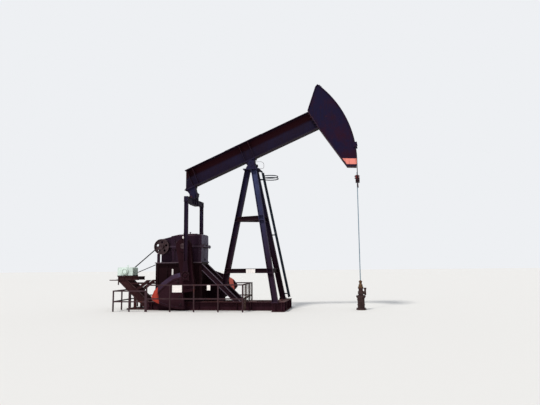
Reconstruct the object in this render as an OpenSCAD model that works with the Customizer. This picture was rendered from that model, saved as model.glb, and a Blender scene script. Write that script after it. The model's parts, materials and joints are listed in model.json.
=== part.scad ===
// Beam pumping unit over a well: +X runs to the well, +Y is the far side, +Z is up.
// The origin is on the ground, under the centre bearing of the walking beam.

/* [Linkage] */
// Height of the centre bearing above the ground
pivot_h = 6320; // [6100:10:6600]
// Radius of the horse head's face, from the centre bearing to the polished rod
head_r = 4570; // [4450:10:4700]
// Distance from the centre bearing to the tail bearing
tail_r = 2980; // [2900:10:3060]
// Distance of the crankshaft behind the centre bearing
shaft_back = 2860; // [2800:10:2920]
// Height of the crankshaft above the ground
shaft_h = 2730; // [2690:10:2800]
// Distance from the crankshaft to the wrist pin
crank_r = 1250; // [1150:10:1300]
// Slope of the walking beam as it stands, in degrees
beam_tilt = 23; // [21:0.5:25]
// Angle of the tail bearing below the beam's own direction, in degrees
tail_dip = 2.4; // [1:0.2:4]
// Lean of the cranks towards the well, in degrees
crank_lean = 8; // [6:0.5:10]

/* [Walking beam] */
// Depth of the beam
beam_d = 850; // [780:10:920]
// Width of the beam's flanges
beam_w = 400; // [360:10:440]
// Thickness of the beam's flanges
beam_flange = 32; // [24:2:40]
// Thickness of the beam's web
beam_web = 20; // [14:2:30]
// Height of the beam's underside above the centre bearing's axis
beam_seat = 230; // [215:5:260]
// Distance of the beam's rear end behind the centre bearing
beam_tail = 3090; // [3020:10:3200]
// Distance of the head's joint from the centre bearing, at the beam's top
joint_top = 3215; // [3100:10:3300]
// Distance of the head's joint from the centre bearing, at the beam's underside
joint_low = 3330; // [3200:10:3400]

/* [Horse head] */
// Half of the angle that the head's face covers, in degrees
arc_half = 26.5; // [25.5:0.5:28]
// Width of the head over its rims
head_w = 440; // [400:10:500]
// How far the rims stand out from the sides
head_rim = 30; // [15:5:40]
// Thickness of the head's plates
head_plate = 30; // [20:2:40]
// Depth of the head at its lower end
head_toe = 400; // [300:10:480]
// Depth of the head at its upper end
head_tip = 150; // [100:10:220]

/* [Bridle and polished rod] */
// Thickness of the bridle's wire rope
rope_d = 32; // [24:2:40]
// Distance between the bridle's two ropes
rope_gap = 240; // [200:10:280]
// Distance from the centre bearing's height down to the carrier bar's underside
hang_l = 950; // [850:10:1020]
// Thickness of the polished rod
rod_d = 40; // [32:2:50]
// Height of the polished rod's lower end above the ground
rod_foot = 300; // [250:10:350]

/* [Cranks and weights] */
// Distance between the pitmans' middle planes
pitman_gap = 2200; // [2180:10:2300]
// Width of a crank arm where the weights are bolted on
crank_w = 550; // [500:10:600]
// Width of a crank arm at its hub
crank_hub_w = 640; // [600:10:700]
// Thickness of a crank arm
crank_t = 220; // [180:10:240]
// Distance from the shaft to the crank's far end
crank_len = 1950; // [1800:10:2050]
// Thickness of a counterweight
weight_t = 210; // [180:10:220]
// Distance from the shaft to the weight's near end
weight_start = 1100; // [1000:10:1200]
// Distance of the weight's outer curve from the shaft
weight_r = 2650; // [2560:10:2660]
// Distance of the weight's belly from the crank's middle line
weight_belly = 1690; // [1550:10:1750]
// Width of the bevel round a weight
weight_bevel = 180; // [120:10:220]
// Thickness of the crankshaft
shaft_d = 230; // [200:10:260]
// Clearance between a shaft and its bore, on each side
fit = 0.5; // [0.3:0.1:1]

/* [Pitmans and equalizer] */
// Width of a pitman seen from the side
pitman_w = 160; // [130:10:200]
// Thickness of a pitman
pitman_t = 110; // [80:10:130]
// Distance of the equalizer's top below the tail bearing's axis
equalizer_drop = 190; // [185:5:230]
// Depth of the equalizer in its middle
equalizer_d = 280; // [240:10:320]
// Depth of the equalizer at its ends
equalizer_end_d = 200; // [170:10:230]
// Width of the equalizer seen from the side
equalizer_w = 170; // [150:10:220]
// Radius of the tail bearing's housing
tail_housing = 165; // [140:5:170]
// Radius of the wrist bearing's housing
wrist_housing = 170; // [140:5:180]
// Thickness of the bearing pins
pin_d = 120; // [100:5:140]

/* [Samson post] */
// Height of the centre bearing above the top plate
cap_rise = 220; // [210:5:340]
// Width of the top plate across the unit
cap_w = 800; // [760:10:840]
// Distance of the front feet ahead of the centre bearing
front_foot = 1130; // [1060:10:1200]
// Distance of the rear foot behind the centre bearing
rear_foot = 1410; // [1350:10:1480]
// Distance between the front feet
feet_gap = 2300; // [2200:10:2400]
// Distance between the front legs' tops
tops_gap = 460; // [420:10:500]
// Width of a leg
leg_w = 230; // [200:10:240]
// Distance of the top plate's edges from its middle, along the unit
cap_half = 360; // [340:10:380]
// Height of the upper brace above the ground
upper_brace_h = 3900; // [3700:50:4100]
// Height of the lower brace above the ground
lower_brace_h = 1650; // [1500:50:1800]
// Depth of a brace
brace_w = 190; // [160:10:210]

/* [Skid] */
// Height of the skid beams
skid_h = 360; // [330:10:390]
// Distance between the skid beams' middle planes
skid_gap = 1040; // [1000:10:1060]
// Width of a skid beam's flanges
skid_w = 240; // [200:10:250]
// Distance of the skid's rear end behind the centre bearing
skid_tail = 4600; // [4540:10:4640]
// Distance of the skid's front end ahead of the centre bearing
skid_nose = 1520; // [1450:10:1600]
// Distance of the skid's bolted joint behind the centre bearing
skid_joint = 290; // [220:10:350]

/* [Pedestal and gearbox] */
// Height of the pedestal's top above the ground
pedestal_h = 2050; // [2000:10:2100]
// Length of the pedestal
pedestal_l = 2090; // [2000:10:2150]
// Width of the pedestal
pedestal_w = 1000; // [960:10:1040]
// Distance of the pedestal's front face behind the centre bearing
pedestal_front = 2170; // [2150:10:2250]
// Distance of the front struts' feet behind the centre bearing
strut_foot = 610; // [560:10:700]
// Depth of a front strut
strut_d = 210; // [180:10:230]
// Width of the gearbox
gearbox_w = 1040; // [960:10:1100]
// Distance of the gearbox's front face ahead of the shaft
gearbox_front = 690; // [660:10:720]
// Distance of the main case's rear face behind the shaft
gearbox_rear = 700; // [660:10:740]
// Distance of the pinion case's rear face behind the shaft
pinion_rear = 1330; // [1300:10:1350]
// Width of the pinion case
pinion_w = 720; // [640:10:800]
// Height of the gearbox's cover above the shaft's axis
cover_h = 530; // [480:10:560]
// Radius of the brake drum
drum_r = 340; // [300:10:360]
// Radius of the large belt sheave
sheave_r = 450; // [400:10:470]

/* [Motor and its stand] */
// Distance of the motor's shaft behind the centre bearing
motor_back = 5790; // [5750:10:5850]
// Height of the motor's shaft above the ground
motor_h = 1665; // [1640:5:1700]
// Radius of the motor's body
motor_r = 200; // [170:5:215]
// Length of the motor
motor_l = 700; // [600:10:760]
// Radius of the motor's sheave
motor_sheave_r = 120; // [100:5:150]
// Length of the box that the motor stands in
motor_box_l = 720; // [680:10:760]
// Depth of the stand's main diagonals
diagonal_d = 310; // [260:10:330]
// Depth of the stand's platform
platform_d = 160; // [120:10:200]
// Distance between the stand's two side frames
stand_gap = 680; // [640:10:700]
// Distance of the stand's upright behind the centre bearing
upright_back = 5250; // [5200:10:5300]

/* [Fence] */
// Height of the fence
fence_h = 1120; // [1050:10:1200]
// Height of the fence behind the pedestal
low_fence_h = 880; // [800:10:920]
// Distance between the two long sides of the fence
fence_gap = 2900; // [2800:10:3000]
// Width of the fence's posts and rails
fence_bar = 50; // [40:5:60]

/* [Wellhead] */
// Height of the stuffing box above the ground
stuffing_h = 1215; // [1150:5:1250]
// Radius of the casing head
casing_r = 145; // [120:5:170]

/* [Hidden] */
$fn = 48;

// Gap between two flat faces that only touch
touch = 0.2;
// Running clearance between moving pieces
clear = 5;
// Longer than the whole unit, for cuts that run right through
beyond = 16000;
pivot = [0, 0, pivot_h];
shaft = [-shaft_back, 0, shaft_h];
tail_angle = beam_tilt + tail_dip;
tail_pin = [-tail_r * cos(tail_angle), 0, pivot_h - tail_r * sin(tail_angle)];
wrist = shaft + crank_r * [sin(crank_lean), 0, -cos(crank_lean)];
pitman_len = norm(wrist - tail_pin);
pitman_lean = atan2(tail_pin[0] - wrist[0], tail_pin[2] - wrist[2]);

// The walking beam's own top line, and its four corners seen from the side
beam_top = beam_seat + beam_d;
function plumb_end(v) = (v * sin(beam_tilt) - beam_tail) / cos(beam_tilt);
beam_side = [
    [plumb_end(beam_seat), beam_seat],
    [joint_low, beam_seat],
    [joint_top, beam_top],
    [plumb_end(beam_top), beam_top]
];

// The head's back edge, from its upper end to its lower end, along the joint with the beam
function on_arc(r, a) = r * [cos(a), sin(a)];
joint_slope = (joint_top - joint_low) / beam_d;
function joint_at(v) = [joint_low + touch + joint_slope * (v - beam_seat), v];
head_back = [
    on_arc(head_r - head_tip, arc_half),
    joint_at(beam_top + 60),
    joint_at(beam_seat - 30),
    on_arc(head_r - head_toe, -arc_half)
];

// Planes of the cranks, weights and pitmans, as distances from the middle
pitman_y = pitman_gap / 2;
crank_y = pitman_y - 250;
carrier_h = pivot_h - hang_l;
leg_start = skid_h + 30;
cap_h = pivot_h - cap_rise;
cap_t = 40;
// How far a crank's hub stands out, and the end of the shaft and of the crank's pin seat beyond it
hub_out = 35;
shaft_end = crank_y + crank_t / 2 + hub_out + 15;
weight_shift = crank_w / 2;
// Thickness of the skid beams' flanges and webs
skid_flange = 24;
skid_web = 18;
foot_half = 150;
// Thickness of stiffening plates, and how far they stay in from a flange's edge
stiff_t = 14;
stiff_in = 8;
leg_web = 16;
// Width of the braces' flanges
brace_t = 120;

front_top = [100, tops_gap / 2, cap_h - cap_t];
front_base = [front_foot, feet_gap / 2, leg_start];
rear_top = [-230, 0, cap_h - cap_t];
rear_base = [-rear_foot, 0, leg_start];
pedestal_rear = pedestal_front + pedestal_l;
// The gearbox's split flange, its bearing bosses, and the shafts behind the main one
lip_t = 30;
lip_out = 40;
lip_end = 60;
boss_out = 50;
boss_cap = 20;
mid_back = 540;
mid_r = 145;
pinion_back = gearbox_rear + lip_end + drum_r + 2 * clear;
pinion_r = 115;
stub_r = 45;
pinion_drop = 300;
pinion_foot = 1200;
top_plate_t = 40;
top_plate_out = 50;
// The brake drum stands between the pinion case and the near crank
drum_w = 180;
drum_y = pinion_w / 2 + 80;
drum_axis = [-shaft_back - pinion_back, 0, shaft_h];
motor_axis = [-motor_back, 0, motor_h];
// The motor's feet stand on two slide rails on the stand's platform
motor_foot = motor_h - motor_r + 25;
rail_t = 45;
rail_l = 800;
stand_top = motor_foot - rail_t;
stand_y = stand_gap / 2;
stand_foot_t = 60;
stand_foot_back = 5620;
platform_start = -motor_back + 670;
platform_end = -motor_back - 300;
rope_y = rope_gap / 2;
far_slip = 200;
hoop_r = 350;
ladder_out = 300;
ladder_half = 200;
rung_step = 300;
// The belts run between the far crank and the gearbox
drive_w = 150;
drive_y = crank_y - crank_t / 2 - 8 - drive_w;
belt_w = 20;
belt_t = 16;
belt_step = 34;
groove_d = 13;
bearing_r = 240;

// Extrudes a side view, drawn as X and Z, between two distances from the middle
module side_view(y0, y1) {
    translate([0, y1, 0]) rotate([90, 0, 0]) linear_extrude(y1 - y0) children();
}

// A round bar across the unit
module cross_bar(x, z, r, y0, y1) {
    translate([x, y1, z]) rotate([90, 0, 0]) cylinder(r = r, h = y1 - y0);
}

// A wide flange section that stands on the X axis of the drawing
module i_shape(h, w, flange, web) {
    union() {
        translate([-w / 2, 0]) square([w, flange]);
        translate([-w / 2, h - flange]) square([w, flange]);
        translate([-web / 2, 0]) square([web, h]);
    }
}

// A long prism between two points, run on past both by a given length
module strut_between(p, q, extra) {
    d = q - p;
    l = norm(d);
    translate(p) rotate([-asin(d[1] / l), atan2(d[0], d[2]), 0])
        translate([0, 0, -extra]) linear_extrude(l + 2 * extra) children();
}

// A plain bar of a given width and thickness between two points
module bar(p, q, w, t, extra = 0) {
    strut_between(p, q, extra) square([w, t], center = true);
}

// The layer of space between two heights
module layer(z0, z1) {
    translate([-beyond / 2, -beyond / 2, z0]) cube([beyond, beyond, z1 - z0]);
}

// A length of wide flange section, with stiffening plates across one side or both at the stops
module section_beam(l, h, w, flange, web, stops = [], one_side = false) {
    linear_extrude(l) i_shape(h, w, flange, web);
    for (stop = stops)
        translate([stiff_in - w / 2, flange, stop - stiff_t / 2])
            cube([(one_side ? w / 2 : w - stiff_in) - stiff_in, h - 2 * flange, stiff_t]);
}

module on_beam() {
    translate(pivot) rotate([0, -beam_tilt, 0]) children();
}

module on_crank() {
    translate(shaft) rotate([0, -crank_lean, 0]) children();
}

module on_pitman() {
    translate(tail_pin) rotate([0, pitman_lean, 0]) children();
}

// A part of the near side, or its mirror image on the far side
module on_side(far) {
    mirror([0, far ? 1 : 0, 0]) children();
}

cross_at = [
    -skid_tail + 230, -pedestal_front - 100, -rear_foot, -strut_foot, 0
];
tow_r = 57;
tow_x = -skid_tail + 75;

module skid_beam(far) {
    reach = skid_tail + front_foot - foot_half;
    color("#2b211f") on_side(far) difference() {
        translate([-skid_tail, -skid_gap / 2, 0]) rotate([90, 0, 90]) {
            section_beam(reach, skid_h, skid_w, skid_flange, skid_web,
                [for (x = cross_at) x + skid_tail], one_side = true);
            section_beam(reach, skid_h, skid_w, skid_flange, skid_web,
                [for (side = [-1, 1]) skid_tail - skid_joint + side * stiff_t / 2]);
        }
        cross_bar(tow_x, skid_h / 2, tow_r + fit, -beyond, beyond);
    }
}

// The cross beams fit between the skid beams' webs and carry plates level with their tops
module skid_cross_beams() {
    inner = skid_gap - skid_web;
    depth = skid_h - 2 * skid_flange;
    between_flanges = skid_gap - skid_w;
    color("#2b211f") {
        for (x = cross_at) {
            translate([x, inner / 2, skid_flange]) rotate([90, 0, 0])
                section_beam(inner, depth, 200, 20, 16, [inner / 2]);
            translate([x - foot_half, -between_flanges / 2, skid_h - skid_flange])
                cube([2 * foot_half, between_flanges, skid_flange]);
        }
        translate([-100, -between_flanges / 2, 0]) cube([200, between_flanges, skid_flange]);
        cross_bar(tow_x, skid_h / 2, tow_r, -skid_gap / 2 - 90, skid_gap / 2 + 90);
    }
}

module front_skid_beams() {
    width = feet_gap + 200;
    nose_start = front_foot + foot_half;
    stops = [for (y = [100, feet_gap / 2 - skid_gap / 2 + 100]) each [y, width - y]];
    color("#2b211f") translate([0, width / 2, 0]) rotate([90, 0, 0]) {
        translate([front_foot, 0, 0])
            section_beam(width, skid_h, 2 * foot_half, skid_flange, skid_web, stops);
        translate([(skid_nose + nose_start) / 2, 0, 0])
            section_beam(width, skid_h + 40, skid_nose - nose_start, skid_flange, skid_web, stops);
    }
}

// A plate box with panels set back between its corner posts and ribs
module pedestal() {
    panel_in = 45;
    post = 110;
    rib = 24;
    low = skid_h;
    high = pedestal_h - top_plate_t;
    half = pedestal_w / 2;
    base_t = 30;
    color("#241c1f") {
        translate([-pedestal_rear + panel_in, -half + panel_in, low])
            cube([pedestal_l - 2 * panel_in, pedestal_w - 2 * panel_in, high - low]);
        translate([-pedestal_rear, -half, low]) cube([pedestal_l, pedestal_w, base_t]);
        translate([-pedestal_rear, -half, high - 60]) cube([pedestal_l, pedestal_w, 60]);
        translate([-pedestal_rear - 20, -gearbox_w / 2 - top_plate_out, high])
            cube([pedestal_l + 40, gearbox_w + 2 * top_plate_out, top_plate_t]);
        for (x = [-pedestal_rear, -pedestal_front - post])
            for (y = [-half, half - post]) translate([x, y, low]) cube([post, post, high - low]);
        for (i = [1 : 3])
            translate([-pedestal_rear + i * pedestal_l / 4 - rib / 2, -half, low])
                cube([rib, pedestal_w, high - low]);
        translate([-pedestal_rear, -rib / 2, low]) cube([pedestal_l, rib, high - low]);
    }
}

// A sloping strut of wide flange section with a foot plate on the skid
module pedestal_strut(far) {
    y = -pedestal_w / 2 + 80;
    foot_t = 24;
    top = [-pedestal_front, y, pedestal_h - top_plate_t - 180];
    foot = [-strut_foot, y, skid_h];
    color("#2b211f") on_side(far) {
        intersection() {
            strut_between(top, foot, strut_d * 2) rotate(90)
                translate([0, -strut_d / 2]) i_shape(strut_d, 130, 16, 12);
            translate([-pedestal_front, -beyond / 2, skid_h + foot_t])
                cube([beyond, beyond, pedestal_h - top_plate_t - skid_h - foot_t]);
        }
        translate([-strut_foot - 210, y - 85, skid_h]) cube([400, 170, foot_t]);
    }
}

module gearbox_space(x0, x1, w, z0, z1) {
    translate([-shaft_back + x0, -w / 2, z0]) cube([x1 - x0, w, z1 - z0]);
}

// The outline of the main case and cover, and that of the narrower one round the pinion
slope_start = -350;
function hood(x) = shaft_h + cover_h - max(0, slope_start - x) * 0.22;

module main_outline() {
    polygon([
        [80 - gearbox_rear, pedestal_h], [gearbox_front - 20, pedestal_h], [gearbox_front, shaft_h],
        [gearbox_front - 10, hood(0) - 40], [gearbox_front - 50, hood(0)],
        [slope_start, hood(slope_start)], [-gearbox_rear, hood(-gearbox_rear)], [-gearbox_rear, shaft_h]
    ]);
}

module pinion_outline() {
    polygon([
        [-pinion_foot, pedestal_h], [-gearbox_rear, pedestal_h], [-gearbox_rear, hood(-gearbox_rear)],
        [60 - pinion_rear, hood(60 - pinion_rear)], [-pinion_rear, hood(-pinion_rear) - 70],
        [-pinion_rear, shaft_h - pinion_drop], [-pinion_foot, shaft_h - pinion_drop]
    ]);
}

// A bearing boss through the box, with a smaller cap on each end
module bearing_boss(back, r, y) {
    cross_bar(-shaft_back - back, shaft_h, r, -y, y);
    cross_bar(-shaft_back - back, shaft_h, r * 0.8, -y - boss_cap, y + boss_cap);
}

// The whole box, before it is split along its shafts
module gearbox_body() {
    half = gearbox_w / 2;
    chamfer = 60;
    intersection() {
        side_view(-half, half) translate([-shaft_back, 0]) main_outline();
        translate([-beyond / 2, 0, 0]) rotate([90, 0, 90]) linear_extrude(beyond) polygon([
            [-half, pedestal_h], [-half, hood(0) - chamfer], [chamfer - half, hood(0)],
            [half - chamfer, hood(0)], [half, hood(0) - chamfer], [half, pedestal_h]]);
    }
    side_view(-pinion_w / 2, pinion_w / 2) translate([-shaft_back, 0]) pinion_outline();
    gearbox_space(-gearbox_rear - lip_end, gearbox_front + 100, gearbox_w + 2 * lip_out,
        shaft_h - lip_t, shaft_h + lip_t);
    gearbox_space(-pinion_rear - lip_end, -gearbox_rear, pinion_w + 2 * lip_out,
        shaft_h - lip_t, shaft_h + lip_t);
    bearing_boss(0, bearing_r, half + boss_out);
    bearing_boss(mid_back, mid_r, half + boss_out - 20);
    bearing_boss(pinion_back, pinion_r, pinion_w / 2 + boss_out - 10);
    for (x = [-mid_back, 0, gearbox_front - 120])
        gearbox_space(x - 12, x + 12, gearbox_w + 2 * lip_out - 10, pedestal_h, shaft_h + cover_h - 190);
}

module shaft_bore() {
    cross_bar(shaft[0], shaft[2], shaft_d / 2 + fit, -beyond / 2, beyond / 2);
}

module gearbox_case() {
    leg = 80;
    color("#2a2023") difference() {
        union() {
            gearbox_body();
            gearbox_space(40 - gearbox_rear, gearbox_front, gearbox_w + 2 * lip_out,
                pedestal_h, pedestal_h + 35);
            for (y = [-pinion_w / 2, pinion_w / 2 - leg])
                translate([-pedestal_rear, y, pedestal_h])
                    cube([110, leg, shaft_h - pinion_drop - pedestal_h]);
            translate([-shaft_back + gearbox_front - 30, 0, pedestal_h + 110]) rotate([0, 90, 0])
                cylinder(r = 35, h = 60);
        }
        layer(shaft_h, beyond);
        shaft_bore();
    }
}

// An eye bolt that stands on a given point
module eye(p) {
    translate(p) {
        cylinder(r = 14, h = 60);
        translate([0, 0, 80]) rotate([90, 0, 0]) rotate_extrude() translate([32, 0]) circle(r = 11);
    }
}

module gearbox_cover() {
    top = shaft_h + cover_h;
    color("#2a2023") {
        difference() {
            gearbox_body();
            layer(0, shaft_h);
            shaft_bore();
        }
        gearbox_space(-200, 380, gearbox_w - 360, top, top + 22);
        gearbox_space(-170, 350, gearbox_w - 420, top + 22, top + 34);
        for (x = [-280, gearbox_front - 120]) eye([-shaft_back + x, 0, top - 10]);
        translate([-shaft_back + 40, -120, top + 34]) {
            cylinder(r = 22, h = 60);
            translate([0, 0, 50]) cylinder(r = 38, h = 34);
        }
    }
}

// Holes in a ring through a disc that stands across the unit
module ring_of_holes(axis, count, ring, r) {
    for (i = [0 : count - 1])
        cross_bar(axis[0] + ring * cos(i * 360 / count + 18), axis[2] + ring * sin(i * 360 / count + 18),
            r, -beyond / 2, beyond / 2);
}

module brake_drum() {
    x = drum_axis[0];
    z = drum_axis[2];
    outer = -drum_y - drum_w;
    mid = -drum_y - drum_w / 2;
    color("#7a7570") {
        cross_bar(x, z, stub_r, mid, -pinion_w / 2 - boss_out - boss_cap + 10);
        difference() {
            union() {
                cross_bar(x, z, drum_r, outer, -drum_y, $fn = 96);
                cross_bar(x, z, 90, outer - 15, -drum_y + 10);
            }
            difference() {
                cross_bar(x, z, drum_r - 30, outer - 20, -drum_y + 20, $fn = 96);
                cross_bar(x, z, 90, outer - 30, -drum_y + 30);
                cross_bar(x, z, drum_r, mid - 12, mid + 12, $fn = 96);
            }
            ring_of_holes(drum_axis, 5, (drum_r + 60) / 2, 55);
        }
    }
}

belt_count = 4;
function belt_y(i) = drive_y + drive_w / 2 + (i - (belt_count - 1) / 2) * belt_step;

// A grooved rim on a web with holes, or on a solid web where it is too small for them
module sheave(axis, r, hub, inner_end, holes) {
    x = axis[0];
    z = axis[2];
    outer = drive_y + drive_w;
    mid = drive_y + drive_w / 2;
    rim = groove_d + 30;
    difference() {
        union() {
            cross_bar(x, z, r, drive_y, outer, $fn = 96);
            cross_bar(x, z, hub, inner_end, outer - clear);
        }
        for (i = [0 : belt_count - 1]) difference() {
            cross_bar(x, z, r + 10, belt_y(i) - belt_w / 2 - 1, belt_y(i) + belt_w / 2 + 1, $fn = 96);
            cross_bar(x, z, r - groove_d, drive_y, outer, $fn = 96);
        }
        if (holes > 0) {
            difference() {
                cross_bar(x, z, r - rim, drive_y - 10, outer + 10, $fn = 96);
                cross_bar(x, z, hub, drive_y - 20, outer + 20);
                cross_bar(x, z, r, mid - 14, mid + 14, $fn = 96);
            }
            ring = (r - rim + hub) / 2;
            ring_of_holes(axis, holes, ring,
                min((r - rim - hub) / 2 - 35, ring * sin(180 / holes) - 30));
        }
    }
}

module large_sheave() {
    color("#3a3231") {
        sheave(drum_axis, sheave_r, 85, drive_y - clear, 6);
        cross_bar(drum_axis[0], drum_axis[2], stub_r,
            pinion_w / 2 + boss_out + boss_cap - 10, drive_y);
    }
}

module motor_sheave() {
    color("#3a3231") sheave(motor_axis, motor_sheave_r, 55, motor_l / 2 + 40, 0);
}

// The part of a belt that lies round a sheave, between two angles
module belt_arc(centre, r, from, to, y0, y1) {
    translate([centre[0], 0, centre[2]]) rotate([90, 0, 0]) rotate([0, 0, from])
        rotate_extrude(angle = to - from, $fn = 96) translate([r, -y1]) square([belt_t, y1 - y0]);
}

// One belt in its groove: an arc round each sheave and the two straight runs between them
module belt(y0, y1) {
    run = [drum_axis[0] - motor_axis[0], drum_axis[2] - motor_axis[2]];
    base = atan2(run[1], run[0]);
    ra = motor_sheave_r - groove_d + touch;
    rb = sheave_r - groove_d + touch;
    tilt = acos((ra - rb) / norm(run));
    a = [motor_axis[0], motor_axis[2]];
    b = [drum_axis[0], drum_axis[2]];
    belt_arc(motor_axis, ra, base + tilt, base + 360 - tilt, y0, y1);
    belt_arc(drum_axis, rb, base - tilt, base + tilt, y0, y1);
    for (angle = [base - tilt, base + tilt]) {
        out = [cos(angle), sin(angle)];
        side_view(y0, y1) polygon([
            a + ra * out, a + (ra + belt_t) * out, b + (rb + belt_t) * out, b + rb * out]);
    }
}

module drive_belts() {
    color("#1b1b1c") for (i = [0 : belt_count - 1])
        belt(belt_y(i) - belt_w / 2, belt_y(i) + belt_w / 2);
}

module motor() {
    x = motor_axis[0];
    half = motor_l / 2;
    box_half = half - 70;
    box_top = motor_h + motor_r - 15;
    bevel = 35;
    color("#b9c4b4") {
        // The weather hood round the motor's frame
        side_view(-box_half, box_half) polygon([
            [x - motor_box_l / 2, motor_foot], [x - motor_box_l / 2, box_top - bevel],
            [x - motor_box_l / 2 + bevel, box_top], [x + motor_box_l / 2 - bevel, box_top],
            [x + motor_box_l / 2, box_top - bevel], [x + motor_box_l / 2, motor_foot]]);
        for (i = [0 : 4]) translate([x - motor_box_l / 2 - 12, -box_half + 60, motor_foot + 50 + i * 50])
            cube([motor_box_l + 24, 2 * box_half - 120, 14]);
        // The end bells, and the shaft that carries the sheave
        translate([x, 0, motor_h]) rotate([90, 0, 0]) rotate_extrude($fn = 96) polygon([
            [0, -half], [motor_r * 0.55, -half], [motor_r - 45, -half + 25], [motor_r - 25, -box_half],
            [motor_r - 25, box_half], [motor_r - 45, half - 25], [motor_r * 0.55, half], [0, half]]);
        cross_bar(x, motor_h, 35, 0, half + 40);
        eye([x, 0, box_top - 10]);
    }
}

// The side view of one main diagonal, from the platform's underside down to the skid's rear end
diagonal_top = [platform_end + 230, 0, stand_top - platform_d];
diagonal_foot = [-skid_tail - 110, 0, 225];

module diagonal_space(y, w) {
    translate([0, y, 0]) strut_between(diagonal_top, diagonal_foot, diagonal_d * 2)
        square([diagonal_d, w], center = true);
}

module stand_side(y) {
    flange_w = 120;
    lift = stand_top - platform_d;
    tie_h = 1140;
    second_top = [platform_start + 450, y, lift - 40];
    second_foot = [platform_start - 90, y, lift - 450];
    intersection() {
        translate([0, y, 0]) strut_between(diagonal_top, diagonal_foot, diagonal_d * 2) rotate(90)
            translate([0, -diagonal_d / 2]) i_shape(diagonal_d, flange_w, 20, 14);
        translate([-beyond, -beyond / 2, stand_foot_t])
            cube([beyond - skid_tail, beyond, lift - stand_foot_t]);
    }
    difference() {
        union() {
            translate([-upright_back - 50, y - 50, stand_foot_t]) cube([100, 100, lift - 400]);
            bar(second_top, second_foot, 120, 90, 200);
            translate([-pedestal_rear - 1250, y - 10, tie_h - 30]) cube([1250, 20, 60]);
        }
        diagonal_space(y, flange_w);
        translate([-beyond, -beyond / 2, lift]) cube([2 * beyond, beyond, beyond]);
        translate([0, -beyond / 2, 0]) cube(beyond);
    }
    translate([-stand_foot_back, y - 60, 0]) cube([stand_foot_back - skid_tail, 120, stand_foot_t]);
    translate([platform_end, y - 45, lift]) rotate([90, 0, 90]) translate([45, 0, 0])
        section_beam(platform_start - platform_end, platform_d, 90, 16, 12, [40, 300, 660, 920]);
    translate([platform_end - 400, y - 10, lift - 20]) cube([400 + touch, 20, 40]);
    translate([platform_end + 10, y - 20, lift - 210]) cube([40, 40, 210]);
}

module motor_stand() {
    inner = stand_gap - 90;
    color("#1d1d20") {
        for (y = [-stand_y, stand_y]) stand_side(y);
        for (x = [platform_end + 100, -motor_back + 330, platform_start - 60])
            translate([x, inner / 2, stand_top - platform_d + 16]) rotate([90, 0, 0])
                section_beam(inner, platform_d - 32, 90, 14, 10);
        for (x = [-stand_foot_back + 60, -upright_back])
            translate([x - 40, -stand_y, 0]) cube([80, stand_gap, stand_foot_t]);
        for (y = [-motor_l / 2 + 130, motor_l / 2 - 190])
            translate([-motor_back - rail_l / 2, y, stand_top]) cube([rail_l, 60, rail_t]);
    }
}

// One leg of the post, cut level at its foot and at its top
module leg_prism(base, top) {
    intersection() {
        strut_between(base, top, 400) translate([-leg_w / 2, -leg_w / 2]) square(leg_w);
        layer(leg_start, cap_h - cap_t);
    }
}

// The leg's wide flange section, with its flanges to the front and the rear
module leg_section(base, top) {
    intersection() {
        strut_between(base, top, 400) rotate(90)
            translate([0, -leg_w / 2]) i_shape(leg_w, leg_w, 20, leg_web);
        layer(leg_start, cap_h - cap_t);
    }
}

module leg(base, top) {
    reach = brace_w / 2 + touch;
    color("#33221f") {
        leg_section(base, top);
        for (z = [lower_brace_h, upper_brace_h])
            for (low = [z - reach - stiff_t, z + reach])
                intersection() {
                    leg_prism(base, top);
                    layer(low, low + stiff_t);
                }
        translate([base[0] - foot_half, base[1] - foot_half, skid_h])
            cube([2 * foot_half, 2 * foot_half, leg_start - skid_h]);
    }
}

function mirror_y(p) = [p[0], -p[1], p[2]];
function at_height(p, q, z) = p + (q - p) * (z - p[2]) / (q[2] - p[2]);

// A level length of section between two points, drawn upright and centred on them
module level_bar(p, q, w, d, flange, web) {
    run = q - p;
    translate([p[0], p[1], p[2] - d / 2]) rotate([0, 0, atan2(run[1], run[0])]) rotate([90, 0, 90])
        linear_extrude(norm(run)) i_shape(d, w, flange, web);
}

// Where a side brace meets the rear leg and where it meets a front leg
function brace_rear(z) = at_height(rear_base, rear_top, z) + [0, leg_w / 2, 0];
function brace_front(z) = at_height(front_base, front_top, z);

// A level triangle of braces: two between the rear leg and the front legs, one between the webs
module brace_ring(z) {
    color("#2b211f") {
        for (far = [false, true]) on_side(!far) difference() {
            level_bar(brace_rear(z), brace_front(z), brace_t, brace_w, 16, 12);
            leg_prism(rear_base, rear_top);
            leg_prism(front_base, front_top);
        }
        difference() {
            level_bar(mirror_y(brace_front(z)), brace_front(z), brace_t, brace_w, 16, 12);
            for (far = [false, true]) on_side(far) strut_between(front_base, front_top, 400)
                translate([-leg_w, -leg_web / 2]) square([2 * leg_w, 2 * leg_w]);
        }
    }
}

module post_cap() {
    housing_y = 300;
    housing_w = 140;
    housing_r = 150;
    color("#33221f") {
        translate([-cap_half, -cap_w / 2, cap_h - cap_t]) cube([2 * cap_half, cap_w, cap_t]);
        difference() {
            for (side = [-1, 1]) {
                y0 = side * housing_y - housing_w / 2;
                y1 = side * housing_y + housing_w / 2;
                side_view(y0, y1) polygon([
                    [-230, cap_h], [230, cap_h], [230, cap_h + 35], [housing_r, pivot_h - 40],
                    [-housing_r, pivot_h - 40], [-230, cap_h + 35]]);
                cross_bar(0, pivot_h, housing_r, y0, y1);
                side_view(y0 + 20, y1 - 20) translate([-housing_r - 30, pivot_h - 35])
                    square([2 * housing_r + 60, 70]);
                cross_bar(0, pivot_h, housing_r - 40, side > 0 ? y1 - 10 : y0 - 14,
                    side > 0 ? y1 + 14 : y0 + 10);
            }
            cross_bar(0, pivot_h, pin_d / 2 + fit, -beyond / 2, beyond / 2);
        }
    }
}

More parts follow.
